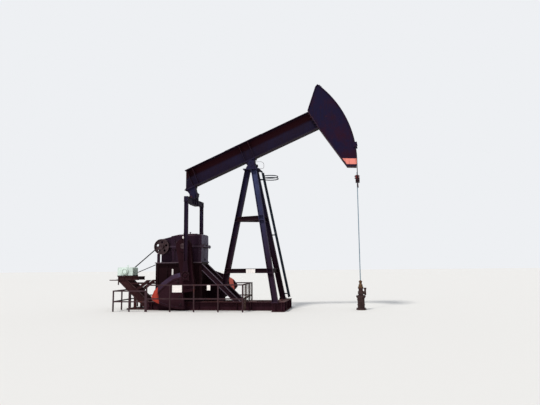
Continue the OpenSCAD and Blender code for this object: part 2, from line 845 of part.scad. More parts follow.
// A line beside the far front leg, moved ahead of it by a given distance
function ladder_at(z, out) = at_height(front_base, front_top, z) + [out, 0, 0];

module ladder_rails() {
    for (y = [-ladder_half, ladder_half])
        bar(ladder_at(skid_h + 100, ladder_out) + [0, y, 0],
            ladder_at(cap_h - 60, ladder_out) + [0, y, 0], 60, 20);
}

module ladder() {
    low = ladder_at(skid_h + 100, ladder_out);
    high = ladder_at(cap_h - 60, ladder_out);
    steps = floor((high[2] - low[2]) / rung_step);
    color("#1f2326") {
        ladder_rails();
        for (i = [0 : steps - 1]) {
            p = ladder_at(low[2] + (i + 0.5) * rung_step, ladder_out);
            translate(p + [0, ladder_half, 0]) rotate([90, 0, 0])
                cylinder(d = 24, h = 2 * ladder_half, $fn = 24);
        }
        for (z = [skid_h + 260, (skid_h + cap_h) / 2, cap_h - 400]) {
            p = ladder_at(z, 0);
            q = ladder_at(z, ladder_out);
            difference() {
                union() {
                    for (y = [-60, 60]) bar(p + [0, y, 0], q + [0, y, 0], 40, 20);
                    bar(q - [0, ladder_half, 0], q + [0, ladder_half, 0], 40, 20);
                }
                leg_prism(front_base, front_top);
            }
        }
    }
}

module ladder_hoop() {
    reach = sqrt(hoop_r * hoop_r - ladder_half * ladder_half);
    open_half = atan2(ladder_half, -reach);
    color("#1f2326") difference() {
        for (z = [cap_h - 380, cap_h - 290])
            translate(ladder_at(z, ladder_out) + [reach + 10, 0, 0]) rotate([0, 0, -open_half])
                rotate_extrude(angle = 2 * open_half) translate([hoop_r - 5, -20]) square([10, 40]);
        ladder_rails();
    }
}

// A run of fence from one point on the ground to another, with evenly spaced posts
module fence_run(p, q, h, rails) {
    l = norm(q - p);
    n = ceil(l / fence_bay);
    translate([p[0], p[1], 0]) rotate([0, 0, atan2(q[1] - p[1], q[0] - p[0])]) {
        for (i = [0 : n])
            translate([i * (l - fence_bar) / n, -fence_bar / 2, 0]) cube([fence_bar, fence_bar, h]);
        for (z = rails)
            translate([0, -fence_bar / 2, z - fence_bar]) cube([l, fence_bar, fence_bar]);
    }
}

fence_y = fence_gap / 2;
fence_bay = 1050;
fence_front = 130;
fence_rear = 5760;
fence_step = pedestal_rear + 20;

module near_fence() {
    color("#4a4442") {
        fence_run([-fence_step, -fence_y], [-fence_front, -fence_y], fence_h, [fence_h, fence_h / 2]);
        fence_run([-fence_rear, -fence_y], [-fence_step, -fence_y], low_fence_h,
            [low_fence_h, low_fence_h / 2]);
    }
}

module far_fence() {
    color("#4a4442") translate([-far_slip, 0, 0])
        fence_run([-fence_rear, fence_y], [-fence_front, fence_y], fence_h, [fence_h, fence_h / 2]);
}

// A run across the unit between the two sides' corner posts, whose own posts start at foot
module cross_fence(x, h, foot) {
    inner = fence_y - fence_bar / 2;
    near = [x, -fence_y];
    far = [x - far_slip, fence_y];
    slope = -far_slip / fence_gap;
    intersection() {
        translate([near[0], near[1], 0]) rotate([0, 0, atan2(fence_gap, -far_slip)])
            for (z = [h, h / 2])
                translate([0, -fence_bar / 2, z - fence_bar])
                    cube([norm(far - near), fence_bar, fence_bar]);
        translate([-2 * fence_rear, -inner, 0]) cube([2 * fence_rear, 2 * inner, 2 * h]);
    }
    for (y = [-skid_gap / 2, skid_gap / 2])
        translate([x + slope * (y + fence_y) - fence_bar / 2, y - fence_bar / 2, foot])
            cube([fence_bar, fence_bar, h - foot]);
}

module front_fence() {
    color("#4a4442") cross_fence(-fence_front - fence_bar / 2, fence_h, skid_h);
}

module rear_fence() {
    color("#4a4442") cross_fence(-fence_rear + fence_bar / 2, low_fence_h, 0);
}

sign_t = 6;

// A plain plate that hangs on the outside of the near fence, below its top rail
module fence_sign(x, w, h) {
    translate([x, -fence_y - fence_bar / 2 - sign_t, fence_h - 30 - h]) cube([w, sign_t, h]);
}

module fence_signs() {
    big_w = 420;
    big_h = 290;
    small_w = 140;
    small_h = 210;
    color("white") {
        fence_sign(-fence_step + 1150, big_w, big_h);
        fence_sign(-fence_front - 1510, small_w, small_h);
    }
}

module brace_sign() {
    near = mirror_y(brace_front(lower_brace_h));
    rear = mirror_y(brace_rear(lower_brace_h));
    mid = near + (rear - near) * 0.42;
    turn = atan2(near[1] - rear[1], near[0] - rear[0]);
    sign_l = 460;
    color("white") translate(mid) rotate([0, 0, turn])
        translate([-sign_l / 2, -brace_t / 2 - sign_t - touch, -brace_w / 2 + 2])
            cube([sign_l, sign_t, brace_w - 20]);
}

flange_t = 60;
casing_h = 580;
tee_h = 330;
rod_bore = rod_d / 2 + 10;

// Turned pieces on the well's own axis, which the polished rod runs through
module on_well(z = 0) {
    translate([head_r, 0, z]) children();
}

module casing_head() {
    color("#3b3836") difference() {
        union() {
            on_well() {
                cylinder(r = casing_r + 60, h = flange_t);
                cylinder(r = casing_r, h = casing_h);
                translate([0, 0, 200]) cylinder(r = casing_r + 18, h = 30);
                translate([0, 0, casing_h - flange_t]) cylinder(r = casing_r + 50, h = flange_t);
            }
            // The plugged outlet on the far side
            on_well(360) rotate([-90, 0, 0]) {
                cylinder(r = 55, h = casing_r + 60);
                cylinder(r = 42, h = casing_r + 95, $fn = 6);
            }
        }
        on_well(-1) cylinder(r = rod_bore, h = beyond);
    }
}

module pumping_tee() {
    color("#3b3836") difference() {
        on_well(casing_h) {
            cylinder(r = 90, h = tee_h);
            cylinder(r = 130, h = 35);
            translate([0, 0, 60]) cylinder(r = 120, h = 130);
            translate([0, 0, tee_h - 45]) cylinder(r = 112, h = 45, $fn = 8);
            translate([0, 0, 125]) rotate([0, 90, 0]) cylinder(r = 45, h = 180);
            translate([0, 0, 125]) rotate([0, 90, 0]) translate([0, 0, 112]) cylinder(r = 62, h = 30);
            translate([180, 0, 20]) cylinder(r = 40, h = 310);
            translate([180, 0, 270]) cylinder(r = 56, h = 60, $fn = 8);
        }
        on_well() cylinder(r = rod_bore, h = beyond);
    }
}

module wellhead_valve() {
    wheel_r = 90;
    color("#5c4636") difference() {
        translate([head_r - 60, 40 - casing_r, 440]) rotate([90, 0, 0]) {
            cylinder(r = 45, h = 170);
            translate([0, 0, 60]) cylinder(r = 58, h = 26);
            translate([0, 0, 120]) cylinder(r = 54, h = 30);
            translate([0, 0, 170]) cylinder(r = 15, h = 60);
            translate([0, 0, 205]) rotate_extrude() translate([wheel_r, 0]) circle(r = 12);
            for (a = [0, 90]) rotate([0, 0, a])
                translate([-wheel_r, -8, 197]) cube([2 * wheel_r, 16, 16]);
        }
        on_well() cylinder(r = casing_r, h = casing_h);
    }
}

module stuffing_box() {
    low = casing_h + tee_h;
    color("#6a5138") difference() {
        on_well(low) {
            cylinder(r = 110, h = 45);
            cylinder(r = 85, h = 120);
            translate([0, 0, 120]) cylinder(r1 = 85, r2 = 55, h = 40);
            translate([0, 0, 160]) cylinder(r = 55, h = 70);
            translate([0, 0, 230]) cylinder(r = 75, h = 30);
            translate([0, 0, 260]) cylinder(r1 = 62, r2 = 40, h = stuffing_h - low - 260);
        }
        on_well() cylinder(r = rod_d / 2 + fit, h = beyond);
    }
}

module crankshaft() {
    color("#55504e") cross_bar(shaft[0], shaft[2], shaft_d / 2, -shaft_end, shaft_end);
}

// A tapered arm with a round hub, the wrist pin's inner half, spare holes for it and a pocket at its tip
module crank(far) {
    y0 = -crank_y - crank_t / 2;
    half = crank_w / 2;
    hub_half = crank_hub_w / 2;
    boss = shaft_d / 2 + 125;
    spare_step = 250;
    pocket = 30;
    color("#271f20") on_side(far) on_crank() difference() {
        union() {
            side_view(y0, y0 + crank_t) polygon([
                [-hub_half, 0], [-half, 40 - weight_start], [-half, 60 - crank_len],
                [60 - half, -crank_len], [half - 60, -crank_len], [half, 60 - crank_len],
                [half, 40 - weight_start], [hub_half, 0]]);
            cross_bar(0, 0, hub_half, y0, y0 + crank_t);
            cross_bar(0, 0, boss, y0 - hub_out, y0 + crank_t + 100);
            cross_bar(0, -crank_r, pin_d / 2, -shaft_end, y0 + 10);
            cross_bar(0, -crank_r, pin_d / 2 + 30, y0 - 20, y0 + 10);
        }
        cross_bar(0, 0, shaft_d / 2, y0 - 2 * hub_out, y0 + crank_t + 200);
        for (i = [1, 2]) cross_bar(0, i * spare_step - crank_r, pin_d / 2 + 6, y0 - 10, y0 + crank_t + 10);
        side_view(y0 - 1, y0 + pocket) polygon([
            [80 - half, 120 - crank_len], [80 - half, -crank_r - 220],
            [half - 80, -crank_r - 220], [half - 80, 120 - crank_len]]);
        // The clamped slit over the shaft
        translate([-6, y0 - 2 * hub_out, shaft_d / 2 - 10]) cube([12, crank_t + 300, hub_half]);
    }
}

// The outline of a weight, drawn on the side where X is positive
weight_corners = [
    [weight_shift, -weight_start],
    [weight_shift + 390, -weight_start - 40],
    [weight_shift + 890, -weight_start - 300],
    [weight_belly - 140, -weight_start - 590],
    [weight_belly, -weight_start - 820],
    [weight_belly, -weight_start - 1560],
    [weight_shift, -weight_start - 1560]
];

// Cuts a slope along one edge of an outline, from the outer face at y down its side
module edge_bevel(p, q, y, depth, width) {
    run = q - p;
    e = 20;
    translate([p[0], y, p[1]]) rotate([0, -atan2(run[1], run[0]), 0]) translate([-width, 0, 0])
        rotate([90, 0, 90]) linear_extrude(norm(run) + 2 * width) polygon([
            [-e, -width - e * width / depth], [-e, e], [depth + e * depth / width, e]]);
}

module weight(far) {
    y0 = -crank_y - weight_t / 2;
    bevel_depth = 70;
    color("#2a2224") on_side(far) on_crank() mirror([far ? 0 : 1, 0, 0]) difference() {
        intersection() {
            side_view(y0, y0 + weight_t) polygon(weight_corners);
            cross_bar(0, 0, weight_r, -beyond / 2, beyond / 2, $fn = 360);
        }
        for (i = [0 : 3])
            edge_bevel(weight_corners[i], weight_corners[i + 1], y0, bevel_depth, weight_bevel);
        // The shallow panel inside the rim
        intersection() {
            side_view(y0 - 1, y0 + 22) polygon([
                [weight_shift + 70, -weight_start - 260], [weight_shift + 380, -weight_start - 290],
                [weight_shift + 780, -weight_start - 500], [weight_belly - 290, -weight_start - 720],
                [weight_belly - 90, -beyond], [weight_shift + 70, -beyond]]);
            cross_bar(0, 0, weight_r - 90, -beyond / 2, beyond / 2, $fn = 360);
        }
    }
}

module walking_beam() {
    joint_plate = 30;
    doubler = 16;
    doubler_l = 1800;
    color("#2c2330") on_beam() {
        intersection() {
            side_view(-beam_w / 2, beam_w / 2) polygon(beam_side);
            translate([-beyond / 2, 0, beam_seat]) rotate([90, 0, 90]) linear_extrude(beyond)
                i_shape(beam_d, beam_w, beam_flange, beam_web);
        }
        side_view(-beam_w / 2, beam_w / 2) polygon([
            [joint_low - joint_plate, beam_seat], [joint_low, beam_seat],
            [joint_top, beam_top], [joint_top - joint_plate, beam_top]]);
        for (x = [-220, 220, -tail_r * cos(tail_dip) + 150, -tail_r * cos(tail_dip) + 420])
            translate([x - 12, -beam_w / 2 + 10, beam_seat + beam_flange])
                cube([24, beam_w - 20, beam_d - 2 * beam_flange]);
        translate([-doubler_l / 2, -beam_w / 2 + 20, beam_top]) cube([doubler_l, beam_w - 40, doubler]);
    }
}

// Where two lines meet, each given by a point and a direction
function meet(p, d, q, e) = p + d * cross(q - p, e) / cross(d, e);

// The edge from p to q, moved sideways into the head by t
function unit(v) = v / norm(v);
function inward(p, q, t) = p + t * [-unit(q - p)[1], unit(q - p)[0]];

// The head's outline out past its face, and the same outline inside its rims
head_out = head_r + 300;
head_outline = concat(head_back, [on_arc(head_out, -arc_half), [head_out, 0], on_arc(head_out, arc_half)]);
function head_corner(i, t) =
    let (p = head_outline[(i + 6) % 7], q = head_outline[i], r = head_outline[(i + 1) % 7])
    meet(inward(p, q, t), q - p, inward(q, r, t), r - q);
head_pocket = [for (i = [0 : 6]) head_corner(i, head_plate)];

module head_slab(y0, y1, outline, r) {
    intersection() {
        side_view(y0, y1) polygon(outline);
        cross_bar(0, 0, r, y0 - 10, y1 + 10, $fn = 720);
    }
}

// The ropes' sockets at the head's upper end, each a short round block along the ropes' line
anchor_angle = arc_half - 2.6;
anchor_l = 150;

module horse_head() {
    half = head_w / 2;
    keeper_angle = 14.5;
    start = on_arc(head_r + rope_d / 2, anchor_angle);
    end = start + anchor_l * [-sin(anchor_angle), cos(anchor_angle)];
    color("#2c2330") on_beam() {
        difference() {
            head_slab(-half, half, head_outline, head_r);
            head_slab(-half - 1, -half + head_rim, head_pocket, head_r - head_plate);
            head_slab(half - head_rim, half + 1, head_pocket, head_r - head_plate);
        }
        for (y = [-rope_y, rope_y])
            strut_between([start[0], y, start[1]], [end[0], y, end[1]], 0) circle(d = rope_d + 34);
        // The plates that keep the ropes from slipping off sideways
        for (y = [-half - 12, half - 6])
            rotate([0, keeper_angle, 0]) translate([head_r - 90, y, -100]) cube([190, 18, 200]);
    }
}

module beam_saddle() {
    plate_half = 260;
    plate_t = 30;
    color("#3a2b28") on_beam() {
        cross_bar(0, 0, pin_d / 2, -370, 370);
        cross_bar(0, 0, 130, -220, 220);
        side_view(-170, 170) polygon([
            [-120, 0], [120, 0], [plate_half - 60, beam_seat - plate_t],
            [60 - plate_half, beam_seat - plate_t]]);
        translate([-plate_half, -beam_w / 2, beam_seat - plate_t])
            cube([2 * plate_half, beam_w, plate_t]);
    }
}

module tail_bearing() {
    plate_t = 30;
    up = beam_seat + tail_r * sin(tail_dip);
    color("#3a2b28") on_beam() rotate([0, -tail_dip, 0]) translate([-tail_r, 0, 0])
        rotate([0, tail_dip, 0]) difference() {
            union() {
                cross_bar(0, 0, tail_housing, -190, 190);
                side_view(-150, 150) polygon([
                    [-tail_housing, 0], [tail_housing, 0], [tail_housing - 10, 120],
                    [200, up - plate_t], [-200, up - plate_t], [10 - tail_housing, 120]]);
                side_view(-180, 180) translate([-tail_housing - 25, -28])
                    square([2 * tail_housing + 50, 56]);
                translate([-230, -beam_w / 2, up - plate_t]) cube([460, beam_w, plate_t]);
            }
            cross_bar(0, 0, pin_d / 2 + fit, -beyond / 2, beyond / 2);
        }
}

module bridle_wrap() {
    color("#3a3a3c") on_beam() for (y = [-rope_y, rope_y])
        translate([0, y, 0]) rotate([90, 0, 0]) rotate([0, 0, -beam_tilt])
            rotate_extrude(angle = beam_tilt + anchor_angle) translate([head_r + rope_d / 2, 0])
                circle(d = rope_d);
}

equalizer_end = pitman_y + pitman_t / 2 + 20;
equalizer_mid = 320;

// The equalizer's front view, drawn as Y and Z about the tail bearing, set in by a margin
module equalizer_outline(margin) {
    low = -equalizer_drop - equalizer_d + margin;
    low_end = -equalizer_drop - equalizer_end_d + margin;
    top = -equalizer_drop - margin;
    end = equalizer_end - margin;
    flat = end - 200;
    polygon([[-end, top], [end, top], [end, low_end], [flat, low_end], [equalizer_mid, low],
        [-equalizer_mid, low], [-flat, low_end], [-end, low_end]]);
}

module front_view(x0, x1) {
    translate([x0, 0, 0]) rotate([90, 0, 90]) linear_extrude(x1 - x0) children();
}

module equalizer() {
    half = equalizer_w / 2;
    web_in = 35;
    lug_y = 200;
    lug_t = 80;
    color("#33221f") on_pitman() {
        difference() {
            front_view(-half, half) equalizer_outline(0);
            front_view(-half - 1, web_in - half) equalizer_outline(24);
            front_view(half - web_in, half + 1) equalizer_outline(24);
        }
        for (y = [-equalizer_mid, 0, equalizer_mid])
            translate([-half, y - 10, -equalizer_drop - equalizer_d + 12])
                cube([equalizer_w, 20, equalizer_d - 24]);
        for (y0 = [-lug_y - lug_t, lug_y]) {
            cross_bar(0, 0, 110, y0, y0 + lug_t);
            side_view(y0, y0 + lug_t) polygon([
                [-110, 0], [110, 0], [half + 30, -equalizer_drop], [-half - 30, -equalizer_drop]]);
        }
        translate([-half - 30, -lug_y - lug_t - 40, -equalizer_drop])
            cube([equalizer_w + 60, 2 * (lug_y + lug_t + 40), 10]);
        cross_bar(0, 0, pin_d / 2, -lug_y - lug_t, lug_y + lug_t);
    }
}

// A wide flange section that hangs from the equalizer and widens at the wrist bearing
module pitman(far) {
    top = -equalizer_drop - equalizer_end_d;
    low = -pitman_len + wrist_housing - 10;
    half = pitman_w / 2;
    pad_t = 28;
    shoe = 420;
    color("#2b211f") on_side(far) on_pitman() difference() {
        union() {
            translate([0, -pitman_y, low]) linear_extrude(top - low) rotate(90)
                translate([0, -half]) i_shape(pitman_w, pitman_t, 14, 12);
            translate([-half - 20, -pitman_y - pitman_t / 2, top - pad_t])
                cube([pitman_w + 40, pitman_t, pad_t]);
            side_view(-pitman_y - pitman_t / 2, pitman_t / 2 - pitman_y) polygon([
                [-half, low + shoe], [half, low + shoe], [half + 35, low + 120],
                [half + 35, -pitman_len], [-half - 35, -pitman_len], [-half - 35, low + 120]]);
        }
        cross_bar(0, -pitman_len, wrist_housing, -beyond / 2, beyond / 2);
        translate([-beyond / 2, -beyond / 2, -pitman_len - beyond]) cube(beyond);
    }
}

// A housing with a square foot and a recessed outer face that shows the pin's nut
module wrist_bearing(far) {
    face = -shaft_end - clear;
    outer = -pitman_y - 80;
    inner = -pitman_y + 70;
    color("#3d3533") on_side(far) on_pitman() translate([0, 0, -pitman_len]) {
        difference() {
            union() {
                cross_bar(0, 0, wrist_housing, outer, inner);
                side_view(outer, inner) translate([-wrist_housing, -wrist_housing - 30])
                    square([2 * wrist_housing, wrist_housing + 30]);
            }
            cross_bar(0, 0, wrist_housing - 40, outer - 1, outer + 35);
        }
        cross_bar(0, 0, pin_d / 2, outer - 10, face);
        cross_bar(0, 0, pin_d / 2 + 32, outer, outer + 40, $fn = 6);
    }
}

module carrier_bar() {
    bar_h = 150;
    half = rope_y + 70;
    color("#2b2624") difference() {
        union() {
            front_view(head_r - 70, head_r + 70 + rope_d) polygon([
                [-half, carrier_h + 30], [30 - half, carrier_h], [half - 30, carrier_h],
                [half, carrier_h + 30], [half, carrier_h + bar_h - 40], [half - 40, carrier_h + bar_h],
                [40 - half, carrier_h + bar_h], [-half, carrier_h + bar_h - 40]]);
        }
        on_well(carrier_h - 1) cylinder(d = rod_d, h = 400);
        for (y = [-rope_y, rope_y])
            translate([head_r + rope_d / 2, y, carrier_h - 1]) cylinder(d = rope_d, h = 400);
    }
}

// Two halves bolted round the rod, with a slit between them
module rod_clamp() {
    clamp_h = 160;
    color("#7b3a2c") difference() {
        translate([head_r - 70, -80, carrier_h + 150]) cube([140, 160, clamp_h]);
        on_well(carrier_h) cylinder(d = rod_d, h = 400);
        translate([head_r - 4, rod_d / 2 - 5, carrier_h + 150 + 12]) cube([8, 100, clamp_h]);
        translate([head_r - 4, -rod_d / 2 - 95, carrier_h + 150 + 12]) cube([8, 100, clamp_h]);
    }
}

module polished_rod() {
    color("#8a949c") on_well(rod_foot) cylinder(d = rod_d, h = carrier_h + 450 - rod_foot);
}

module bridle_drop() {
    socket = 220;
    color("#3a3a3c") for (y = [-rope_y, rope_y]) translate([head_r + rope_d / 2, y, 0]) {
        translate([0, 0, carrier_h - 180]) cylinder(d = rope_d, h = pivot_h - carrier_h + 180 - clear);
        translate([0, 0, carrier_h - socket]) cylinder(d = 70, h = 60);
        translate([0, 0, carrier_h - socket + 60]) cylinder(d1 = 70, d2 = 52, h = socket - 60);
    }
}

skid_beam(false);  // near_skid_beam
skid_beam(true);  // far_skid_beam
skid_cross_beams();
front_skid_beams();
pedestal();
pedestal_strut(false);  // near_strut
pedestal_strut(true);  // far_strut
gearbox_case();
gearbox_cover();
brake_drum();
large_sheave();
drive_belts();
motor();
motor_sheave();
motor_stand();
leg(mirror_y(front_base), mirror_y(front_top));  // near_front_leg
leg(front_base, front_top);  // far_front_leg
leg(rear_base, rear_top);  // rear_leg
brace_ring(upper_brace_h);  // upper_brace
brace_ring(lower_brace_h);  // lower_brace
post_cap();
ladder();
ladder_hoop();
near_fence();
far_fence();
front_fence();
rear_fence();
fence_signs();
brace_sign();
casing_head();
pumping_tee();
wellhead_valve();
stuffing_box();
crankshaft();
crank(false);  // near_crank
crank(true);  // far_crank
weight(false);  // near_weight
weight(true);  // far_weight
walking_beam();
horse_head();
beam_saddle();
tail_bearing();
bridle_wrap();
equalizer();
pitman(false);  // near_pitman
pitman(true);  // far_pitman
wrist_bearing(false);  // near_wrist_bearing
wrist_bearing(true);  // far_wrist_bearing
carrier_bar();
rod_clamp();
polished_rod();
bridle_drop();
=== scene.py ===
import json
import math

import bpy
from mathutils import Euler, Matrix, Vector


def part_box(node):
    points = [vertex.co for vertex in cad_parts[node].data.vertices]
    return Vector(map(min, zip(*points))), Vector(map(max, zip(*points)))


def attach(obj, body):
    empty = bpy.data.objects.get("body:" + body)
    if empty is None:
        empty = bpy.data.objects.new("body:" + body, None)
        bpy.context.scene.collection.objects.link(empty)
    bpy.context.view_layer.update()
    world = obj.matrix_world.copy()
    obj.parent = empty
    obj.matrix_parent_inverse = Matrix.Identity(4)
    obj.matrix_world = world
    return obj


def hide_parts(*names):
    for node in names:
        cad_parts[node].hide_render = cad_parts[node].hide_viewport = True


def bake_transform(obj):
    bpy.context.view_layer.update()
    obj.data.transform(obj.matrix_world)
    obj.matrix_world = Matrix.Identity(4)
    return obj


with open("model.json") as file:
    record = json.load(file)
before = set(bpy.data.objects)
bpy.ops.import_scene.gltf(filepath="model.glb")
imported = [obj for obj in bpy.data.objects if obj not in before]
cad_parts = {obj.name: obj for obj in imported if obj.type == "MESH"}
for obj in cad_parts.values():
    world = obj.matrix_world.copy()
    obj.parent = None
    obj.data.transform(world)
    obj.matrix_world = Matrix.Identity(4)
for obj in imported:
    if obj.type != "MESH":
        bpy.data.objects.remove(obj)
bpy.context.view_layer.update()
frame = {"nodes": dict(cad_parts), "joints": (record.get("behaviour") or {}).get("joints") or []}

# Beam pumping unit over its well. +X runs to the well, +Y is the far side, sizes are in metres.

nodes = frame["nodes"]
joints = {joint["name"]: joint for joint in frame["joints"]}
centreBearing = Vector(joints["beam_rock"]["pos_m"])
tailPin = Vector(joints["pitman_swing"]["pos_m"])
crankShaft = Vector(joints["crank_turn"]["pos_m"])

linkage = {
    "beamTilt": math.radians(23),        # the walking beam's slope as it stands
    "crankLean": math.radians(8),        # the cranks' lean towards the well
    "crankRadius": 1.25,
    "pitmanLength": 3.5496,
    "headRadius": 4.57,
    "pitmanPlane": 1.10,                 # the pitmans' distance from the middle
    "crankPlane": 0.85,
}


def placed(point, turn):
    # the frame of a piece that swings: its own X, Y and Z from a bearing, turned about Y
    return Matrix.Translation(point) @ Matrix.Rotation(turn, 4, "Y")


onUnit = Matrix.Identity(4)
onBeam = placed(centreBearing, -linkage["beamTilt"])
onCrank = placed(crankShaft, -linkage["crankLean"])
wristPin = onCrank @ Vector((0, 0, -linkage["crankRadius"]))
onPitman = placed(tailPin, math.atan2(tailPin.x - wristPin.x, tailPin.z - wristPin.z))
motorLow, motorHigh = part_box("motor_sheave")
motorHeight = (motorLow[2] + motorHigh[2]) / 2


# small helpers for colours and shader nodes

def tint(red, green, blue):
    # a screen colour, 0 to 255, as the linear colour that a socket wants
    def linear(value):
        value /= 255
        return value / 12.92 if value < 0.04045 else ((value + 0.055) / 1.055) ** 2.4
    return (linear(red), linear(green), linear(blue), 1.0)


def shaderNode(tree, kind, settings=None, **inputs):
    # an input goes by its name, or by its number as i0, i1 and so on
    node = tree.nodes.new(kind)
    for key, value in (settings or {}).items():
        setattr(node, key, value)
    for key, value in inputs.items():
        numbered = key[0] == "i" and key[1:].isdigit()
        socket = node.inputs[int(key[1:]) if numbered else key]
        if isinstance(value, bpy.types.NodeSocket):
            tree.links.new(value, socket)
        else:
            socket.default_value = value
    return node


def noise(tree, vector, scale, detail=4.0, roughness=0.55):
    node = shaderNode(tree, "ShaderNodeTexNoise", Vector=vector, Scale=scale, Detail=detail,
                      Roughness=roughness)
    return node.outputs["Fac"]


def ramp(tree, value, low, high):
    # rises from 0 at low to 1 at high
    node = shaderNode(tree, "ShaderNodeMapRange", Value=value)
    node.inputs["From Min"].default_value = low
    node.inputs["From Max"].default_value = high
    return node.outputs["Result"]


def cloudy(tree, vector, pattern, grain=1.0):
    # patches of a noise: its scale, detail and roughness, and the values between which it rises to 1
    scale, detail, roughness, low, high = pattern
    return ramp(tree, noise(tree, vector, scale * grain, detail, roughness), low, high)


def maths(tree, operation, first, second=0.0):
    return shaderNode(tree, "ShaderNodeMath", {"operation": operation}, i0=first, i1=second).outputs[0]


def product(tree, first, second):
    return maths(tree, "MULTIPLY", first, second)


def total(tree, first, second):
    return maths(tree, "ADD", first, second)


def mixed(tree, factor, first, second):
    node = shaderNode(tree, "ShaderNodeMix", {"data_type": "RGBA"}, i0=factor, i6=first, i7=second)
    return node.outputs[2]


def stretched(tree, vector, scale):
    return shaderNode(tree, "ShaderNodeMapping", Vector=vector, Scale=scale).outputs["Vector"]


def dotted(tree, first, second):
    node = shaderNode(tree, "ShaderNodeVectorMath", {"operation": "DOT_PRODUCT"}, i0=first, i1=second)
    return node.outputs["Value"]


def along(tree, place, origin, direction):
    # distance of a point from origin, measured along direction
    away = shaderNode(tree, "ShaderNodeVectorMath", {"operation": "SUBTRACT"}, i0=place, i1=tuple(origin))
    return dotted(tree, away.outputs[0], tuple(direction))


def newMaterial(name):
    # with its tree, its surface and the place of each point
    material = bpy.data.materials.new(name)
    material.use_nodes = True
    tree = material.node_tree
    place = shaderNode(tree, "ShaderNodeTexCoord").outputs["Object"]
    return material, tree, tree.nodes["Principled BSDF"], place


def bumped(tree, surface, height, strength, distance):
    bump = shaderNode(tree, "ShaderNodeBump", Height=height, Strength=strength, Distance=distance)
    tree.links.new(bump.outputs["Normal"], surface.inputs["Normal"])


# weathered paint, the finish of nearly every piece

weatherSettings = {
    "streak": (36, 18, 18),          # washed-down dirt
    "runStretch": (7.0, 7.0, 0.55),
    "rustDark": (46, 19, 13),
    "rustLight": (100, 50, 34),
    "rustGrain": (22.0, 5.0),
    "patches": (3.1, 8.0, 0.68),     # the noise of the rust, and where it starts on paint without any
    "patchRise": (0.69, 0.78),
    "rustSpread": 0.3,
    "rustShare": 0.8,
    "rustRough": 0.3,
    "dust": (104, 84, 84),
    "upward": (0.25, 0.95),          # faces on which dust settles
    "worn": (88, 70, 78),            # rubbed edges, partly wear and partly painted highlight
    "edgeWidth": 0.016,
    "edgeSamples": 4,
    "edgeTurn": (0.995, 0.86),
    "sunlitSide": (-0.35, -0.8, 0.49),  # the way that the painted sunlight comes from: faces turned this way are painted lighter
    "facing": (-0.2, 0.8),
    "sunlitShare": 0.65,              # shares of the painted sunlight on faces turned to the sun and of the faded drifts
    "filmClouds": 0.6,
    "litAndFaded": (0.35, 1.1),
    "speckleGain": 1.25,
    "speckleLift": 4,
    "speckleShare": 0.5,
    "speckleRough": 0.08,
    "lowest": 1.8,                   # from here up to the next height the paint turns bluer, a painted sky reflection
    "highest": 5.4,
    "sheen": 0.06,
    "relief": (60.0, 4.0, 0.7),
    "swell": (3.0, 3.0),
    "swellShare": 0.6,
    "bump": (0.35, 0.006),
}

# scale, detail and roughness of each noise, and the values between which it rises
patterns = {
    "clouds": (0.9, 6.0, 0.62, 0.36, 0.66),
    "speckle": (14.0, 6.0, 0.7, 0.45, 0.78),
    "runs": (1.6, 5.0, 0.6, 0.52, 0.72),
    "chips": (9.0, 6.0, 0.7, 0.36, 0.6),
    "settled": (4.0, 6.0, 0.6, 0.25, 0.75),
    "mottle": (9.0, 6.0, 0.65, 0.3, 0.7),
    "dusty": (6.0, 6.0, 0.7, 0.4, 0.8),
    "front": (2.4, 5.0, 0.6, 0.2, 0.6),
    "rim": (3.0, 5.0, 0.6, 0.25, 0.6),
}


def rustTone(tree, place, grain):
    return mixed(tree, noise(tree, place, *grain), tint(*weatherSettings["rustDark"]),
                 tint(*weatherSettings["rustLight"]))


